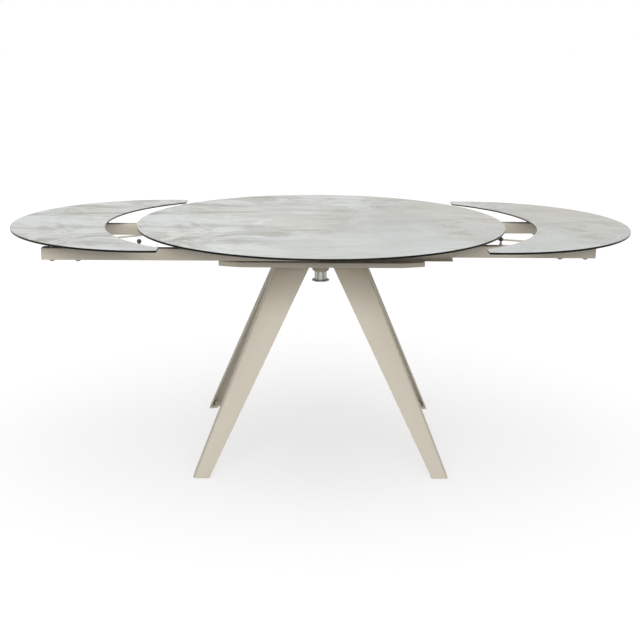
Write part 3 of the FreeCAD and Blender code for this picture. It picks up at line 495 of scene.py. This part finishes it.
class Shell:
    """Closed forms in millimetres that become one mesh in metres, with a look for each face."""

    def __init__(self):
        self.points, self.faces, self.tags = [], [], []

    def skin(self, rings, loop=False, end_tags=(0, 0), tagger=lambda level, step: 0):
        """Skins rings that all run the same way round; a loop joins the last to the first."""
        first, count, levels = len(self.points), len(rings[0]), len(rings)
        for one in rings:
            self.points.extend(one)
        for level in range(levels if loop else levels - 1):
            low, high = first + level * count, first + (level + 1) % levels * count
            for step in range(count):
                after = (step + 1) % count
                self.faces.append((low + step, low + after, high + after, high + step))
                self.tags.append(tagger(level, step))
        if not loop:
            last = first + (levels - 1) * count
            self.faces.append(tuple(range(first + count - 1, first - 1, -1)))
            self.faces.append(tuple(range(last, last + count)))
            self.tags += end_tags
        return self

    def slab(self, outline, low, high, edge=0.5, axis="Z", steps=2):
        """A plate of any outline with softened edges."""
        turns = [pi / 2 * step / steps for step in range(steps + 1)]
        walls = [(edge * (1 - sin(turn)), low + edge * (1 - cos(turn))) for turn in turns]
        walls += [(depth, low + high - level) for depth, level in reversed(walls)]
        return self.skin([ring(outline, *wall, axis) for wall in walls])

    def pipe(self, outer, inner, low, high, edge, axis):
        """A hollow bar between two outlines with as many points."""
        walls = ((outer, edge, low), (outer, 0.0, low + edge), (outer, 0.0, high - edge),
                 (outer, edge, high), (inner, -edge, high), (inner, 0.0, high - edge),
                 (inner, 0.0, low + edge), (inner, -edge, low))
        return self.skin([ring(*wall, axis) for wall in walls], loop=True)

    def turned(self, profile, x=0.0, y=0.0, steps=96, loop=False):
        """A form turned about an upright axis from (radius, height) points."""
        return self.skin([[(*point, level) for point in circle(radius, steps, x, y)]
                          for radius, level in profile], loop)

    def bar(self, start, end, sizes):
        """A round bar between two points, its radius given at shares of its length."""
        along = (end - start).normalized()
        side = along.orthogonal().normalized()
        across = along.cross(side)
        self.skin([[start.lerp(end, share) + side * point.x + across * point.y
                    for point in circle(radius, 24)] for share, radius in sizes])

    def mesh(self, name):
        mesh = bpy.data.meshes.new(name)
        mesh.from_pydata([Vector(point) * MM for point in self.points], [], self.faces)
        mesh.polygons.foreach_set("material_index", self.tags)
        return mesh


def turned_about(points, way):
    """Half a turn about the vertical for the right-hand side."""
    return [(x * way, y * way, z) for x, y, z in points]


def smooth(mesh, angle=32.0):
    mesh.update()
    mesh.polygons.foreach_set("use_smooth", [True] * len(mesh.polygons))
    mesh.set_sharp_from_angle(angle=radians(angle))


def linked(name, data):
    """A new object in the scene."""
    item = bpy.data.objects.new(name, data)
    scene.collection.objects.link(item)
    return item


def placed(item, look, body, replaced):
    """Lets a piece ride on its body and stand for its nodes; its look is not used."""
    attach(item, body)
    if replaced:
        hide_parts(*replaced)


def dressed(name, mesh, looks, body, replaced=(), angle=32.0):
    """Makes a mesh a finished piece that rides on a body and stands for the named nodes."""
    looks = (looks,) if isinstance(looks, str) else looks
    smooth(mesh, angle)
    for look in looks:
        mesh.materials.append(LOOKS[look][0])
    placed(linked(name, mesh), looks[0], body, replaced)


def piece(name, shell, looks, body, *replaced, way=1, angle=32.0):
    """A piece from a shell, which a way of -1 turns half about."""
    shell.points = turned_about(shell.points, way)
    dressed(name, shell.mesh(name), looks, body, replaced, angle)


def side_piece(side, way, part, shell, look, body, *replaced, angle=32.0):
    """A piece drawn for the left side; {} in the names of its nodes stands for the side."""
    piece(f"{side.capitalize()}_{part}", shell, look, f"{body}_{side}",
          *(node.format(side) for node in replaced), way=way, angle=angle)


def softened(node, width, look="coat", body="base", name=None):
    """A copy of a CAD node with bevelled edges, in place of the node."""
    name = name or node.capitalize()
    mesh = nodes[node].data.copy()
    mesh.materials.clear()
    shape = bmesh.new()
    shape.from_mesh(mesh)
    bmesh.ops.remove_doubles(shape, verts=shape.verts, dist=0.01 * MM)
    bmesh.ops.dissolve_limit(
        shape, angle_limit=radians(2), verts=shape.verts, edges=shape.edges)
    sharp = [edge for edge in shape.edges
             if len(edge.link_faces) == 2 and edge.calc_face_angle() > radians(30.0)]
    bmesh.ops.bevel(shape, geom=sharp, offset=width * MM, segments=2, profile=0.5,
                    affect="EDGES", clamp_overlap=True)
    shape.to_mesh(mesh)
    shape.free()
    mesh.name = name
    dressed(name, mesh, look, body, (node,))


# Geometry node trees for what repeats
def copies_tree(name, *inputs):
    """A geometry tree and what its inputs give."""
    shape = ("Geometry", "Geometry")
    return new_group(name, [shape, *inputs, ("Material", "Material")], [shape], "GeometryNodeTree")


def close_tree(tree, given, **placing):
    """Sets the instances on their points, makes them real and gives them the material."""
    copies = add(tree, "GeometryNodeInstanceOnPoints", **placing)
    real = add(tree, "GeometryNodeRealizeInstances", Geometry=copies.outputs[0])
    done = add(tree, "GeometryNodeSetMaterial", Geometry=real.outputs[0],
               Material=given["Material"])
    return closed(tree, Geometry=done.outputs[0])


def hex_tree():
    """Hexagon heads or nuts with a chamfered crown and a washer, one on each point, crown up."""
    tree, given = copies_tree(
        "Hexagon fasteners", ("Corner radius", "Float", 0.007), ("Height", "Float", 0.005),
        ("Crown", "Float", 0.001), ("Washer radius", "Float", 0.009), ("Washer", "Float", 0.001),
        ("Seed", "Int", 3))
    radius, crown, washer = given["Corner radius"], given["Crown"], given["Washer"]
    body_high = maths(tree, "SUBTRACT", maths(tree, "SUBTRACT", given["Height"], crown), washer)
    prism = add(tree, "GeometryNodeMeshCylinder", Vertices=6, Radius=radius, Depth=body_high)
    top = add(tree, "GeometryNodeMeshCone", Vertices=6, Radius_Top=times(tree, radius, 0.84),
              Radius_Bottom=radius, Depth=crown)
    disc = add(tree, "GeometryNodeMeshCylinder", Vertices=32, Radius=given["Washer radius"],
               Depth=washer)
    parts = add(tree, "GeometryNodeJoinGeometry")
    for part, level in ((prism, plus(tree, washer, times(tree, body_high, 0.5))),
                        (top, plus(tree, washer, body_high)), (disc, times(tree, washer, 0.5))):
        lift = add(tree, "ShaderNodeCombineXYZ", Z=level)
        raised = add(tree, "GeometryNodeTransform", Geometry=part.outputs["Mesh"],
                     Translation=lift.outputs[0])
        tree.links.new(raised.outputs[0], parts.inputs[0])
    turn = add(tree, "FunctionNodeRandomValue", Seed=given["Seed"])
    connect(tree, 1.05, turn, 3)
    spin = add(tree, "ShaderNodeCombineXYZ", Z=turn.outputs[1])
    return close_tree(tree, given, Points=given["Geometry"], Instance=parts.outputs[0],
                      Rotation=spin.outputs[0])


def bead_tree():
    """A weld bead: overlapping drops along each edge path."""
    tree, given = copies_tree(
        "Weld bead", ("Pitch", "Float", 0.0014), ("Width", "Float", 0.0032), ("Seed", "Int", 5))
    path = add(tree, "GeometryNodeMeshToCurve", Mesh=given["Geometry"])
    even = add(tree, "GeometryNodeResampleCurve", mode="LENGTH", Curve=path.outputs[0],
               Length=given["Pitch"])
    spots = add(tree, "GeometryNodeCurveToPoints", mode="EVALUATED", Curve=even.outputs[0])
    drop = add(tree, "GeometryNodeMeshIcoSphere", Radius=times(tree, given["Width"], 0.5),
               Subdivisions=2)
    size = add(tree, "FunctionNodeRandomValue", Seed=given["Seed"])
    connect(tree, 0.9, size, 2)
    connect(tree, 1.08, size, 3)
    return close_tree(tree, given, Points=spots.outputs[0], Instance=drop.outputs[0],
                      Scale=size.outputs[1])


def thread_tree():
    """A screw thread: a fine ridge wound up from each point."""
    tree, given = copies_tree(
        "Screw thread", ("Radius", "Float", 0.004), ("Pitch", "Float", 0.00125),
        ("Length", "Float", 0.012))
    turns = maths(tree, "DIVIDE", given["Length"], given["Pitch"])
    spiral = add(tree, "GeometryNodeCurveSpiral", Resolution=24, Rotations=turns,
                 Start_Radius=given["Radius"], End_Radius=given["Radius"], Height=given["Length"])
    ridge = add(tree, "GeometryNodeCurvePrimitiveCircle", Resolution=4,
                Radius=times(tree, given["Pitch"], 0.34))
    wound = add(tree, "GeometryNodeCurveToMesh", Curve=spiral.outputs[0],
                Profile_Curve=ridge.outputs[0], Fill_Caps=True)
    return close_tree(tree, given, Points=given["Geometry"], Instance=wound.outputs[0])


HEX, BEAD, THREAD = hex_tree(), bead_tree(), thread_tree()


def repeated(name, tree, points, look, body, *replaced, paths=(), **sizes):
    """Runs a tree over points or edge paths and keeps the result as one plain piece."""
    start = bpy.data.meshes.new(name + "_places")
    start.from_pydata([Vector(point) * MM for point in points], list(paths), [])
    item = linked(name, start)
    modifier = item.modifiers.new("Copies", "NODES")
    modifier.node_group = tree
    values = {label.replace("_", " "): size * MM for label, size in sizes.items()}
    values["Material"] = LOOKS[look][0]
    for socket in tree.interface.items_tree:
        if socket.in_out == "INPUT" and socket.name in values:
            modifier[socket.identifier] = values[socket.name]
    depsgraph = bpy.context.evaluated_depsgraph_get()
    result = bpy.data.meshes.new_from_object(item.evaluated_get(depsgraph), depsgraph=depsgraph)
    item.modifiers.clear()
    result.name = name
    item.data = result
    smooth(result)
    placed(item, look, body, replaced)


def beads(name, lines, body, width=3.2, pitch=1.4):
    """Weld beads along lines, each a list of points."""
    points, paths = [], []
    for line in lines:
        first = len(points)
        points += line
        paths += [(first + index, first + index + 1) for index in range(len(line) - 1)]
    repeated(name, BEAD, points, "coat", body, paths=paths, Width=width, Pitch=pitch)


# Top: disc and leaves, each a marbled sheet with a fine chamfer on black glass
def leaf_outline(steps=300):
    """The left leaf, anticlockwise: outer arc, blunt end, hollow, blunt end; and where the
    hollow begins."""
    points = []
    for half, reach, way in ((TIP_HALF, LEAF_REACH, 1), (HOLLOW_HALF, HOLLOW_REACH, -1)):
        # The circle through both blunt ends and the middle of the rim between them
        rise = reach - TIP_X
        radius = (half * half + rise * rise) / (2 * rise)
        centre = reach - radius
        angle = atan2(half, centre - TIP_X)
        first = len(points)
        start = angle if way > 0 else 2 * pi - angle
        for step in range(steps + 1):
            turn = start + way * (2 * pi - 2 * angle) * step / steps
            points.append(Vector((radius * cos(turn) - centre, radius * sin(turn))))
    return points, first


def table_top(name, outline, high, look, body, node, way=1, hollow_from=None):
    """A ceramic sheet, dark outside with a marbled chamfer, face and hollow, on its glass."""
    low = high - CERAMIC
    sheet, glass = Shell(), Shell()
    walls = ((0.15, low), (0.0, low + 0.15), (0.0, high - CHAMFER), (0.12, high - CHAMFER + 0.14),
             (CHAMFER_WIDE, high - 0.04), (CHAMFER_WIDE + 0.6, high))

    def tagger(level, step):
        return int(level < 3 and (hollow_from is None or step < hollow_from))

    sheet.skin([ring(outline, *wall) for wall in walls], end_tags=(1, 0), tagger=tagger)
    piece(f"{name}_ceramic", sheet, (look, "edge"), body, f"{node}_ceramic", way=way, angle=20)
    glass.slab(outline, low - GLASS, low, 0.35)
    piece(f"{name}_glass", glass, "glass", body, f"{node}_glass", way=way)


table_top("Disc", circle(DISC_RADIUS, 480), DISC_TOP, "disc", "base", "disc")
for side, way in SIDES:
    outline, hollow_from = leaf_outline()
    body = f"leaf_{side}"
    table_top(f"{side.capitalize()}_leaf", outline, LEAF_TOP, side, body, body, way, hollow_from)

# Beams: drawn tube with rounded corners, caps pressed into the ends
for side, way in SIDES:
    caps = Shell()
    for row, place in zip(ROWS, ("front", "rear") if way > 0 else ("rear", "front")):
        wide, high = (row - BEAM_WIDE / 2, row + BEAM_WIDE / 2), (BEAM_LOW, BEAM_TOP)
        outer = box(wide, high, 2.6)
        inner, ends = box(wide, high, 1.2, TUBE_WALL), (CAP - BEAM_OUT, -BEAM_IN - CAP)
        tube = Shell().pipe(outer, inner, *ends, 0.25, "X")
        side_piece(side, way, f"{place}_beam", tube, "coat", "carriage", "beam_{}_" + place)
        # Each plug starts inside its cap's flange, so that no two faces share a plane
        plug = box(wide, high, 1.0, TUBE_WALL + PLUG_GAP)
        for end, way_in in ((-BEAM_OUT, 1), (-BEAM_IN, -1)):
            caps.slab(outer, *sorted((end, end + CAP * way_in)), 0.9, "X", 3)
            caps.slab(plug, *sorted((end + 2.5 * way_in, end + PLUG * way_in)), 0.4, "X")
    side_piece(side, way, "beam_caps", caps, "taupe plastic", "carriage", "end_caps_{}")


# Rails: folded channels, each open towards its beam
def channel(row, face):
    """The C section, folded from sheet, between its back and its lips."""
    back, way, wall = RAIL_BACK * row, row * face, RAIL_WALL
    lip = back + RAIL_WIDE * way
    low, high = PLATE_TOP, RAIL_TOP
    points = [(back, low), (lip, low), (lip, low + wall), (back + wall * way, low + wall),
              (back + wall * way, high - wall), (lip, high - wall), (lip, high), (back, high)]
    return rounded(points[::way], 0.9, 3)


for place, row in (("front", -1), ("rear", 1)):
    for which, face in (("outer", 1), ("inner", -1)):
        rail = Shell().slab(channel(row, face), -RAIL_END, RAIL_END, 0.25, "X", 1)
        piece(f"Rail_{place}_{which}", rail, "coat", "base", f"rail_{place}_{which}")


# Base plate: a tray folded from sheet, with slanted corners
def plate_outline(inside=0.0):
    long, wide = PLATE_LONG - inside, PLATE_WIDE - inside
    cut_long, cut_wide = PLATE_CUT
    slant = hypot(cut_long, cut_wide)
    near = PLATE_WIDE - cut_wide - inside * (slant - cut_wide) / cut_long
    far = PLATE_LONG - cut_long - inside * (slant - cut_long) / cut_wide
    return [(long, near), (far, wide), (-far, wide), (-long, near),
            (-long, -near), (-far, -wide), (far, -wide), (long, -near)]


outer, inner = rounded(plate_outline(), 4.0), rounded(plate_outline(PLATE_TOP - PLATE_UNDER), 1.5)
walls = [(inner, 0.6, PLATE_UNDER), (inner, 0.0, PLATE_UNDER - 0.6), (inner, 0.0, PLATE_LOW + 0.3),
         (inner, -0.3, PLATE_LOW), (outer, 0.3, PLATE_LOW), (outer, 0.0, PLATE_LOW + 0.3)]
for turn in (pi / 2 * step / 4 for step in range(5)):
    walls.append((outer, 3.2 * (1 - cos(turn)), PLATE_TOP - 3.2 * (1 - sin(turn))))
plate = Shell().skin([ring(*wall) for wall in walls])
piece("Base_plate", plate, "coat", "base", "base_plate")


# Legs: tapered sheet folded to an angle
def leg_ring(x, y, wide, level, sign_x, sign_y, shrink):
    """The angle section at one height, softened at its free edges and in its fold."""
    wall, bend, free = LEG_WALL, LEG_BEND, 0.8
    # Drawn with the fold at the origin and the flanges along +u and +v, anticlockwise
    points = []
    for u, v, radius, start, sweep, steps in (
            (wide - free, free, free, -90, 90, 3), (wide - free, wall - free, free, 0, 90, 3),
            (bend, bend, bend - wall, 270, -90, 6), (wall - free, wide - free, free, 0, 90, 3),
            (free, wide - free, free, 90, 90, 3), (bend, bend, bend, 180, 90, 8)):
        for turn in (radians(start + sweep * step / steps) for step in range(steps + 1)):
            points.append((u + radius * cos(turn), v + radius * sin(turn)))
    if shrink:
        points = inset(points, shrink)
    around = [((x - u) * sign_x, (y - v) * sign_y, level) for u, v in points]
    return around[::sign_x * sign_y]


for corner, sign_x, sign_y in CORNERS:
    rings = []
    for share, shrink in ((0.0, 0.5), (0.0008, 0.0), (0.9992, 0.0), (1.0, 0.5)):
        place = [low + (high - low) * share for low, high in zip(LEG_FOOT, LEG_TOP)]
        rings.append(leg_ring(*place, sign_x, sign_y, shrink))
    piece(f"Leg_{corner}", Shell().skin(rings), "coat", "base", f"leg_{corner}")

# These keep their CAD shapes, with softened edges
for corner, *_ in CORNERS:
    softened(f"foot_plate_{corner}", 0.5)
for node, width in (("leg_caps", 0.5), ("support_posts", 0.6), ("top_plate", 0.5)):
    softened(node, width)
softened("sync_lever", 0.5, "work", "sync", "Lever")

# Welds: foot plates and caps in the legs, posts on the rails, rails on the plate, pivot tube
welds = []
for corner, sign_x, sign_y in CORNERS:
    for level, near, far, u, v in LEG_WELDS:
        for path in (((u - near, v), (u - far, v)), ((u, v - near), (u, v - far))):
            welds.append([(x * sign_x, y * sign_y, level) for x, y in path])
for _, sign_x, sign_y in CORNERS:
    x, y = POST[0] * sign_x, POST[1] * sign_y
    around = oblong((x - POST_HALF[0], x + POST_HALF[0]), (y - POST_HALF[1], y + POST_HALF[1]))
    welds.append([(*point, RAIL_TOP) for point in around + around[:1]])
for row in (-1, 1):
    for x in STITCHES:
        for y in (RAIL_BACK + RAIL_WIDE - 0.6, RAIL_BACK - RAIL_WIDE + 0.6):
            welds.append([(x, y * row, PLATE_TOP), (x + STITCH, y * row, PLATE_TOP)])
around = circle(TUBE_RADIUS + 0.4, 48)
welds.append([(*point, PLATE_UNDER) for point in around + around[:1]])
beads("Base_welds", welds, "base")

# Crossbars: tube welded between the beams, with the lug and stud of the rod
for side, way in SIDES:
    shell = Shell()
    outer = box(CROSSBAR_Z, CROSSBAR_X, 2.6)
    shell.pipe(outer, box(CROSSBAR_Z, CROSSBAR_X, 1.2, TUBE_WALL), *ROW_GAP, 0.1, "Y")
    shell.slab(box((CROSSBAR_X[0], LUG_END), LUG_Y, 6.0, steps=6), LUG_LOW, LUG_LOW + 3.0)
    shell.slab(oblong(CROSSBAR_X, LUG_Y), LUG_LOW + 2.3, CROSSBAR_Z[0] + 0.4, 0.2)
    stud, eye = (-ROD_OUT[0], -ROD_OUT[1], 32), ROD_LOW + 5.3
    shell.turned([(4.0, LUG_LOW + 2.5), (4.0, eye), (3.4, eye), (3.4, eye + 0.2)], *stud)
    shell.turned([(4.6, eye), (6.0, eye), (6.0, eye + 1.3), (5.3, eye + 2), (0.4, eye + 2)], *stud)
    side_piece(side, way, "crossbar", shell, "coat", "carriage", "crossbar_{}")
    lines = [[(point.y, y, point.x) for point in outer + outer[:1]] for y in ROW_GAP]
    lines += [[(x, y, CROSSBAR_Z[0]) for x in (CROSSBAR_X[0] + 1, CROSSBAR_X[1] - 1)]
              for y in LUG_Y]
    beads(f"{side.capitalize()}_crossbar_welds", [turned_about(line, way) for line in lines],
          f"carriage_{side}", 2.6, 1.2)


# Rods: a thin bar between two rod ends with lock nuts
def rod_end(shell, eye, toward):
    """The eye: a barrel with a bulged rim, and its neck towards the bar."""
    walls = [(4.3, -5.0), (5.9, -5.0), (6.6, -4.2), (7.0, -2.0),
             (7.0, 2.0), (6.6, 4.2), (5.9, 5.0), (4.3, 5.0)]
    shell.turned([(radius, eye.z + level) for radius, level in walls], eye.x, eye.y, 40, loop=True)
    shell.bar(eye + toward * NECK, eye + toward * NECK_END,
              ((0.0, 4.4), (0.25, 3.9), (0.85, 3.9), (1.0, 3.3)))


for side, way in SIDES:
    shell = Shell()
    out = Vector((-ROD_OUT[0], -ROD_OUT[1], ROD_LOW))
    inn = Vector((-LEVER_PIN[0], LEVER_PIN[1], ROD_HIGH))
    along = (inn - out).normalized()
    rod_end(shell, out, along)
    rod_end(shell, inn, -along)
    start, nut = along * (NECK_END - 2.0), along * (NECK_END + 1.0)
    shell.bar(out + start, inn - start, ((0.0, ROD_RADIUS), (1.0, ROD_RADIUS)))
    right = along.orthogonal().normalized()
    across = along.cross(right)
    for at in (out + nut, inn - nut - along * NUT):
        shell.skin([[at + along * depth + (right * point.x + across * point.y) * grow
                     for point in hexagon(5.2, 4)]
                    for depth, grow in ((0.0, 0.86), (0.6, 1.0), (NUT - 0.6, 1.0), (NUT, 0.86))])
    side_piece(side, way, "rod", shell, "coat", "rod", "rod_{}")

# Ball rests: a ball on a thin stem with a conical foot
for side, way in SIDES:
    balls, stems = Shell(), Shell()
    centre = BEAM_TOP + BALL_UP
    turns = [radians(step) for step in range(14, 180, 8)]
    ball = [(BALL_RADIUS * sin(turn), centre - BALL_RADIUS * cos(turn)) for turn in turns]
    stem = [(6.5, BEAM_TOP), (6.5, BEAM_TOP + 0.8), (5.4, BEAM_TOP + 2.5), (3.4, BEAM_TOP + 8.0),
            (2.8, centre - 6.0)]
    for row in ROWS:
        balls.turned([(1.7, centre - 7.6)] + ball, BALL_X, row, 32)
        stems.turned(stem, BALL_X, row, 24)
    side_piece(side, way, "ball_rests", balls, "black", "carriage", "ball_rests_{}", angle=60)
    side_piece(side, way, "ball_stems", stems, "work", "carriage")

# Lift guides: flanged bushes on black pads that are painted shade on the beam tops, domes below,
# shoes and pins of the leaf
for side, way in SIDES:
    bushes, domes, shoes, pins = Shell(), Shell(), Shell(), Shell()
    lip = BEAM_TOP + 1.5
    bush = [(BUSH_BORE, BEAM_LOW), (8.0, BEAM_LOW), (8.0, BEAM_TOP), (10.7, BEAM_TOP),
            (11.0, BEAM_TOP + 0.3), (11.0, lip - 0.4), (10.6, lip), (5.4, lip),
            (BUSH_BORE, lip - 0.4)]
    dome = [(radius, BEAM_LOW - deep) for radius, deep in (
        (0.4, DOME_DEEP), (4.0, 5.9), (7.2, 4.2), (9.2, 1.9), (10.0, 0.6), (10.0, 0.0))]
    for row in ROWS:
        for x in GUIDES:
            bushes.turned(bush, x, row, 40, loop=True)
            domes.turned(dome, x, row, 40)
            pins.turned([(4.2, PIN_LOW), (5.0, PIN_LOW + 1), (5.0, SHOE_LOW)], x, row, 32)
        # The black pad darkens the beam top under the leaf: painted shade where the leaf shades it
        shade_pad = box(SHADE_PAD_X, (row - SHADE_PAD_HALF, row + SHADE_PAD_HALF), 4.0)
        bushes.slab(shade_pad, BEAM_TOP, BEAM_TOP + SHADE_PAD, 0.3)
        shoe = box(SHOE_X, (row - SHOE_HALF, row + SHOE_HALF), 5.0, steps=5)
        shoes.slab(shoe, SHOE_LOW, SHOE_TOP, 0.4)
    side_piece(side, way, "guide_bushes", bushes, "black", "carriage", "guide_bushes_{}")
    side_piece(side, way, "guide_domes", domes, "work", "carriage", "guide_domes_{}", angle=50)
    side_piece(side, way, "lift_shoes", shoes, "work", "leaf", "lift_shoes_{}")
    side_piece(side, way, "lift_pins", pins, "zinc", "leaf", "lift_pins_{}")
    for part, width, look in (("runners", 0.6, "work"), ("gliders", 0.8, "nylon")):
        softened(f"{part}_{side}", width, look, f"carriage_{side}", f"{side.capitalize()}_{part}")


# Central pivot: coated tube, spindle, bright sleeve, dark flange and nuts
def collar(radius, low, high, chamfer, *between):
    """The profile of a chamfered ring on the spindle."""
    return [(SPINDLE_RADIUS, low), (radius - chamfer, low), (radius, low + chamfer), *between,
            (radius, high - chamfer), (radius - chamfer, high), (SPINDLE_RADIUS, high)]


for name, look, body, node, loop, profile in (
        ("Bearing_tube", "coat", "base", "bearing_tube", True,
         [(15.0, TUBE_LOW), (22.6, TUBE_LOW), (23.4, TUBE_LOW + 0.3), (27.6, TUBE_LOW + 4.5),
          (TUBE_RADIUS, TUBE_LOW + 5.4), (TUBE_RADIUS, PLATE_UNDER), (15.0, PLATE_UNDER)]),
        ("Pivot_sleeve", "zinc", "sync", "spindle_sleeve", True,
         collar(SLEEVE_RADIUS, SLEEVE_LOW, SLEEVE_TOP, 0.7, (SLEEVE_RADIUS, GROOVE - 1.1),
                (19.5, GROOVE - 0.6), (19.5, GROOVE + 0.6), (SLEEVE_RADIUS, GROOVE + 1.1))),
        ("Pivot_flange", "dark zinc", "sync", "spindle_flange", True,
         collar(FLANGE_RADIUS, FLANGE_LOW, SLEEVE_LOW, 1.0)),
        ("Spindle", "zinc", "sync", "spindle", False,
         [(8.8, SPINDLE_LOW), (SPINDLE_RADIUS, SPINDLE_LOW + 1.2),
          *collar(14.0, PLATE_TOP + 0.3, LEVER_LOW, 0.6),
          (SPINDLE_RADIUS, SPINDLE_TOP - 1.2), (8.8, SPINDLE_TOP)])):
    piece(name, Shell().turned(profile, loop=loop), look, body, node)
nuts = Shell()
for low, high, radius in ((SPINDLE_LOW, FLANGE_LOW, 15.0), (LEVER_TOP, LEVER_TOP + 9.0, 17.0)):
    crown, sides = circle(radius * 0.86, 36), hexagon(radius)
    bore = circle(SPINDLE_RADIUS + 0.1, 36)
    nuts.skin([ring(line, 0.0, level) for line, level in (
        (crown, low), (sides, low + 1.2), (sides, high - 1.2), (crown, high),
        (bore, high), (bore, low))], loop=True)
piece("Spindle_nuts", nuts, "zinc", "sync", "spindle_nuts")
pins = Shell()
for sign in (-1, 1):
    pins.turned([(5.0, LEVER_LOW), (5.0, LEVER_PIN_TOP - 0.8), (4.2, LEVER_PIN_TOP)],
                LEVER_PIN[0] * sign, -LEVER_PIN[1] * sign, 32)
piece("Lever_pins", pins, "zinc", "sync", "lever_pins")

# Bolts that hold the plate on the leg caps
places = [(BOLT[0] * x, BOLT[1] * y) for _, x, y in CORNERS]
repeated("Bolt_heads", HEX, [(*place, PLATE_TOP) for place in places], "zinc", "base",
         "leg_bolts", Corner_radius=7.0, Height=4.0, Crown=0.6, Washer_radius=7.0, Washer=0.6)
shanks = Shell()
for place in places:
    shanks.turned([(3.4, BOLT_LOW), (4.0, BOLT_LOW + 0.7), (4.0, 680.0)], *place, 24)
piece("Bolt_shanks", shanks, "zinc", "base")
repeated("Bolt_nuts", HEX, [(*place, BOLT_NUT) for place in places], "zinc", "base",
         Corner_radius=6.5, Height=5.5, Crown=0.7, Washer_radius=6.5, Washer=0.8)
repeated("Bolt_threads", THREAD, [(*place, BOLT_LOW + 0.2) for place in places], "zinc", "base",
         Radius=3.8, Pitch=PITCH, Length=1.2)

# Levelling glides: a black foot on a threaded stud
for corner, sign_x, sign_y in CORNERS:
    x, y = GLIDE[0] * sign_x, GLIDE[1] * sign_y
    body = f"glide_{corner}"
    foot = [(7.2, 0.0), (8.0, 0.8), (8.0, 2.6), (7.4, 3.4), (4.6, 4.0), (4.0, 4.7)]
    piece(f"Glide_{corner}", Shell().turned(foot, x, y, 48), "black", body, body)
    stud = Shell().turned([(3.6, 4.0), (3.6, 21.2), (2.8, 22.0)], x, y, 24)
    piece(f"Glide_stud_{corner}", stud, "zinc", body)
    repeated(f"Glide_thread_{corner}", THREAD, [(x, y, 4.9)], "zinc", body,
             Radius=3.7, Pitch=PITCH, Length=16.4)


# Stage, light and camera
WHITE = (1.0, 1.0, 1.0, 1.0)


def mixed(tree, share, first, second):
    """A mix of two shaders."""
    node = add(tree, "ShaderNodeMixShader", Fac=share)
    connect(tree, first.outputs[0], node, 1)
    connect(tree, second.outputs[0], node, 2)
    return node


def soft_light(name, place, aim, size, power):
    data = bpy.data.lights.new(name, "AREA")
    data.shape = "RECTANGLE"
    data.size, data.size_y = size
    data.energy = power
    item = linked(name, data)
    item.location = place
    item.rotation_euler = (Vector(aim) - Vector(place)).to_track_quat("-Z", "Y").to_euler()


def pale_floor():
    """A pale floor with the table's soft shadow, white further out and clear from below."""
    item, tree, shader, place = material("Pale floor")
    feed(tree, shader, Base_Color=(0.80, 0.80, 0.80, 1.0), Roughness=0.9, Specular_IOR_Level=0.0)
    rays = add(tree, "ShaderNodeLightPath").outputs
    seen = maths(tree, "MAXIMUM", rays["Is Camera Ray"], rays["Is Glossy Ray"])
    away = add(tree, "ShaderNodeVectorMath", operation="LENGTH")
    connect(tree, place, away, 0)
    share = maths(tree, "MULTIPLY_ADD", away.outputs["Value"], 0.20, True)
    connect(tree, 0.62, share.node, 2)
    white = add(tree, "ShaderNodeEmission", Color=WHITE, Strength=1.06)
    shown = mixed(tree, times(tree, seen, share), shader, white)
    clear = add(tree, "ShaderNodeBsdfTransparent")
    below = add(tree, "ShaderNodeNewGeometry").outputs["Backfacing"]
    shown = mixed(tree, times(tree, below, rays["Is Camera Ray"]), shown, clear)
    connect(tree, shown.outputs[0], tree.nodes["Material Output"], 0)
    return item


def stage():
    """The floor, a white surround, and soft light from above and in front."""
    mesh = bpy.data.meshes.new("Floor")
    corners = oblong((-30.0, 30.0), (-30.0, 30.0))
    mesh.from_pydata([(*corner, -0.4 * MM) for corner in corners], [], [(0, 1, 2, 3)])
    floor = linked("Floor", mesh)
    mesh.materials.append(pale_floor())
    floor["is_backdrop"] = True

    world = bpy.data.worlds.new("Studio")
    scene.world = world
    world.use_nodes = True
    tree = world.node_tree
    tree.nodes.clear()
    rays = add(tree, "ShaderNodeLightPath").outputs
    seen = maths(tree, "MAXIMUM", rays["Is Camera Ray"], rays["Is Glossy Ray"])
    seen = maths(tree, "MAXIMUM", seen, rays["Is Transmission Ray"])
    dim, white = (add(tree, "ShaderNodeBackground", Color=WHITE, Strength=power)
                  for power in (0.31, 1.0))
    out = add(tree, "ShaderNodeOutputWorld")
    connect(tree, mixed(tree, seen, dim, white).outputs[0], out, 0)

    soft_light("Front softbox", (-0.2, -4.6, 2.55), (0.0, 0.0, 0.5), (5.2, 1.6), 160.0)
    soft_light("Overhead softbox", (0.0, 0.0, 4.2), (0.0, 0.0, 0.76), (3.2, 3.2), 57.0)


def camera():
    """The photograph's camera, fitted to the table's rims, beams and legs."""
    place, lens = (-0.0623, -3.842, 1.427), 66.43
    yaw, pitch, roll = 0.01601, 0.2547, 0.008693
    ahead = Vector((sin(yaw) * cos(pitch), cos(yaw) * cos(pitch), -sin(pitch)))
    right = Vector((cos(yaw), -sin(yaw), 0.0))
    up = right.cross(ahead)
    turned_right = right * cos(roll) + up * sin(roll)
    turned_up = up * cos(roll) - right * sin(roll)
    data = bpy.data.cameras.new("Camera")
    data.sensor_width, data.lens, data.clip_end = 36.0, lens, 60.0
    item = linked("Camera", data)
    spin = Matrix((turned_right, turned_up, -ahead)).transposed()
    item.matrix_world = Matrix.Translation(place) @ spin.to_4x4()
    scene.camera = item


stage()
camera()
scene.view_settings.view_transform = "Standard"

low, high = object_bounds()
sizes = {"cad": [list(cad_low), list(cad_high)], "visual": [list(low), list(high)]}
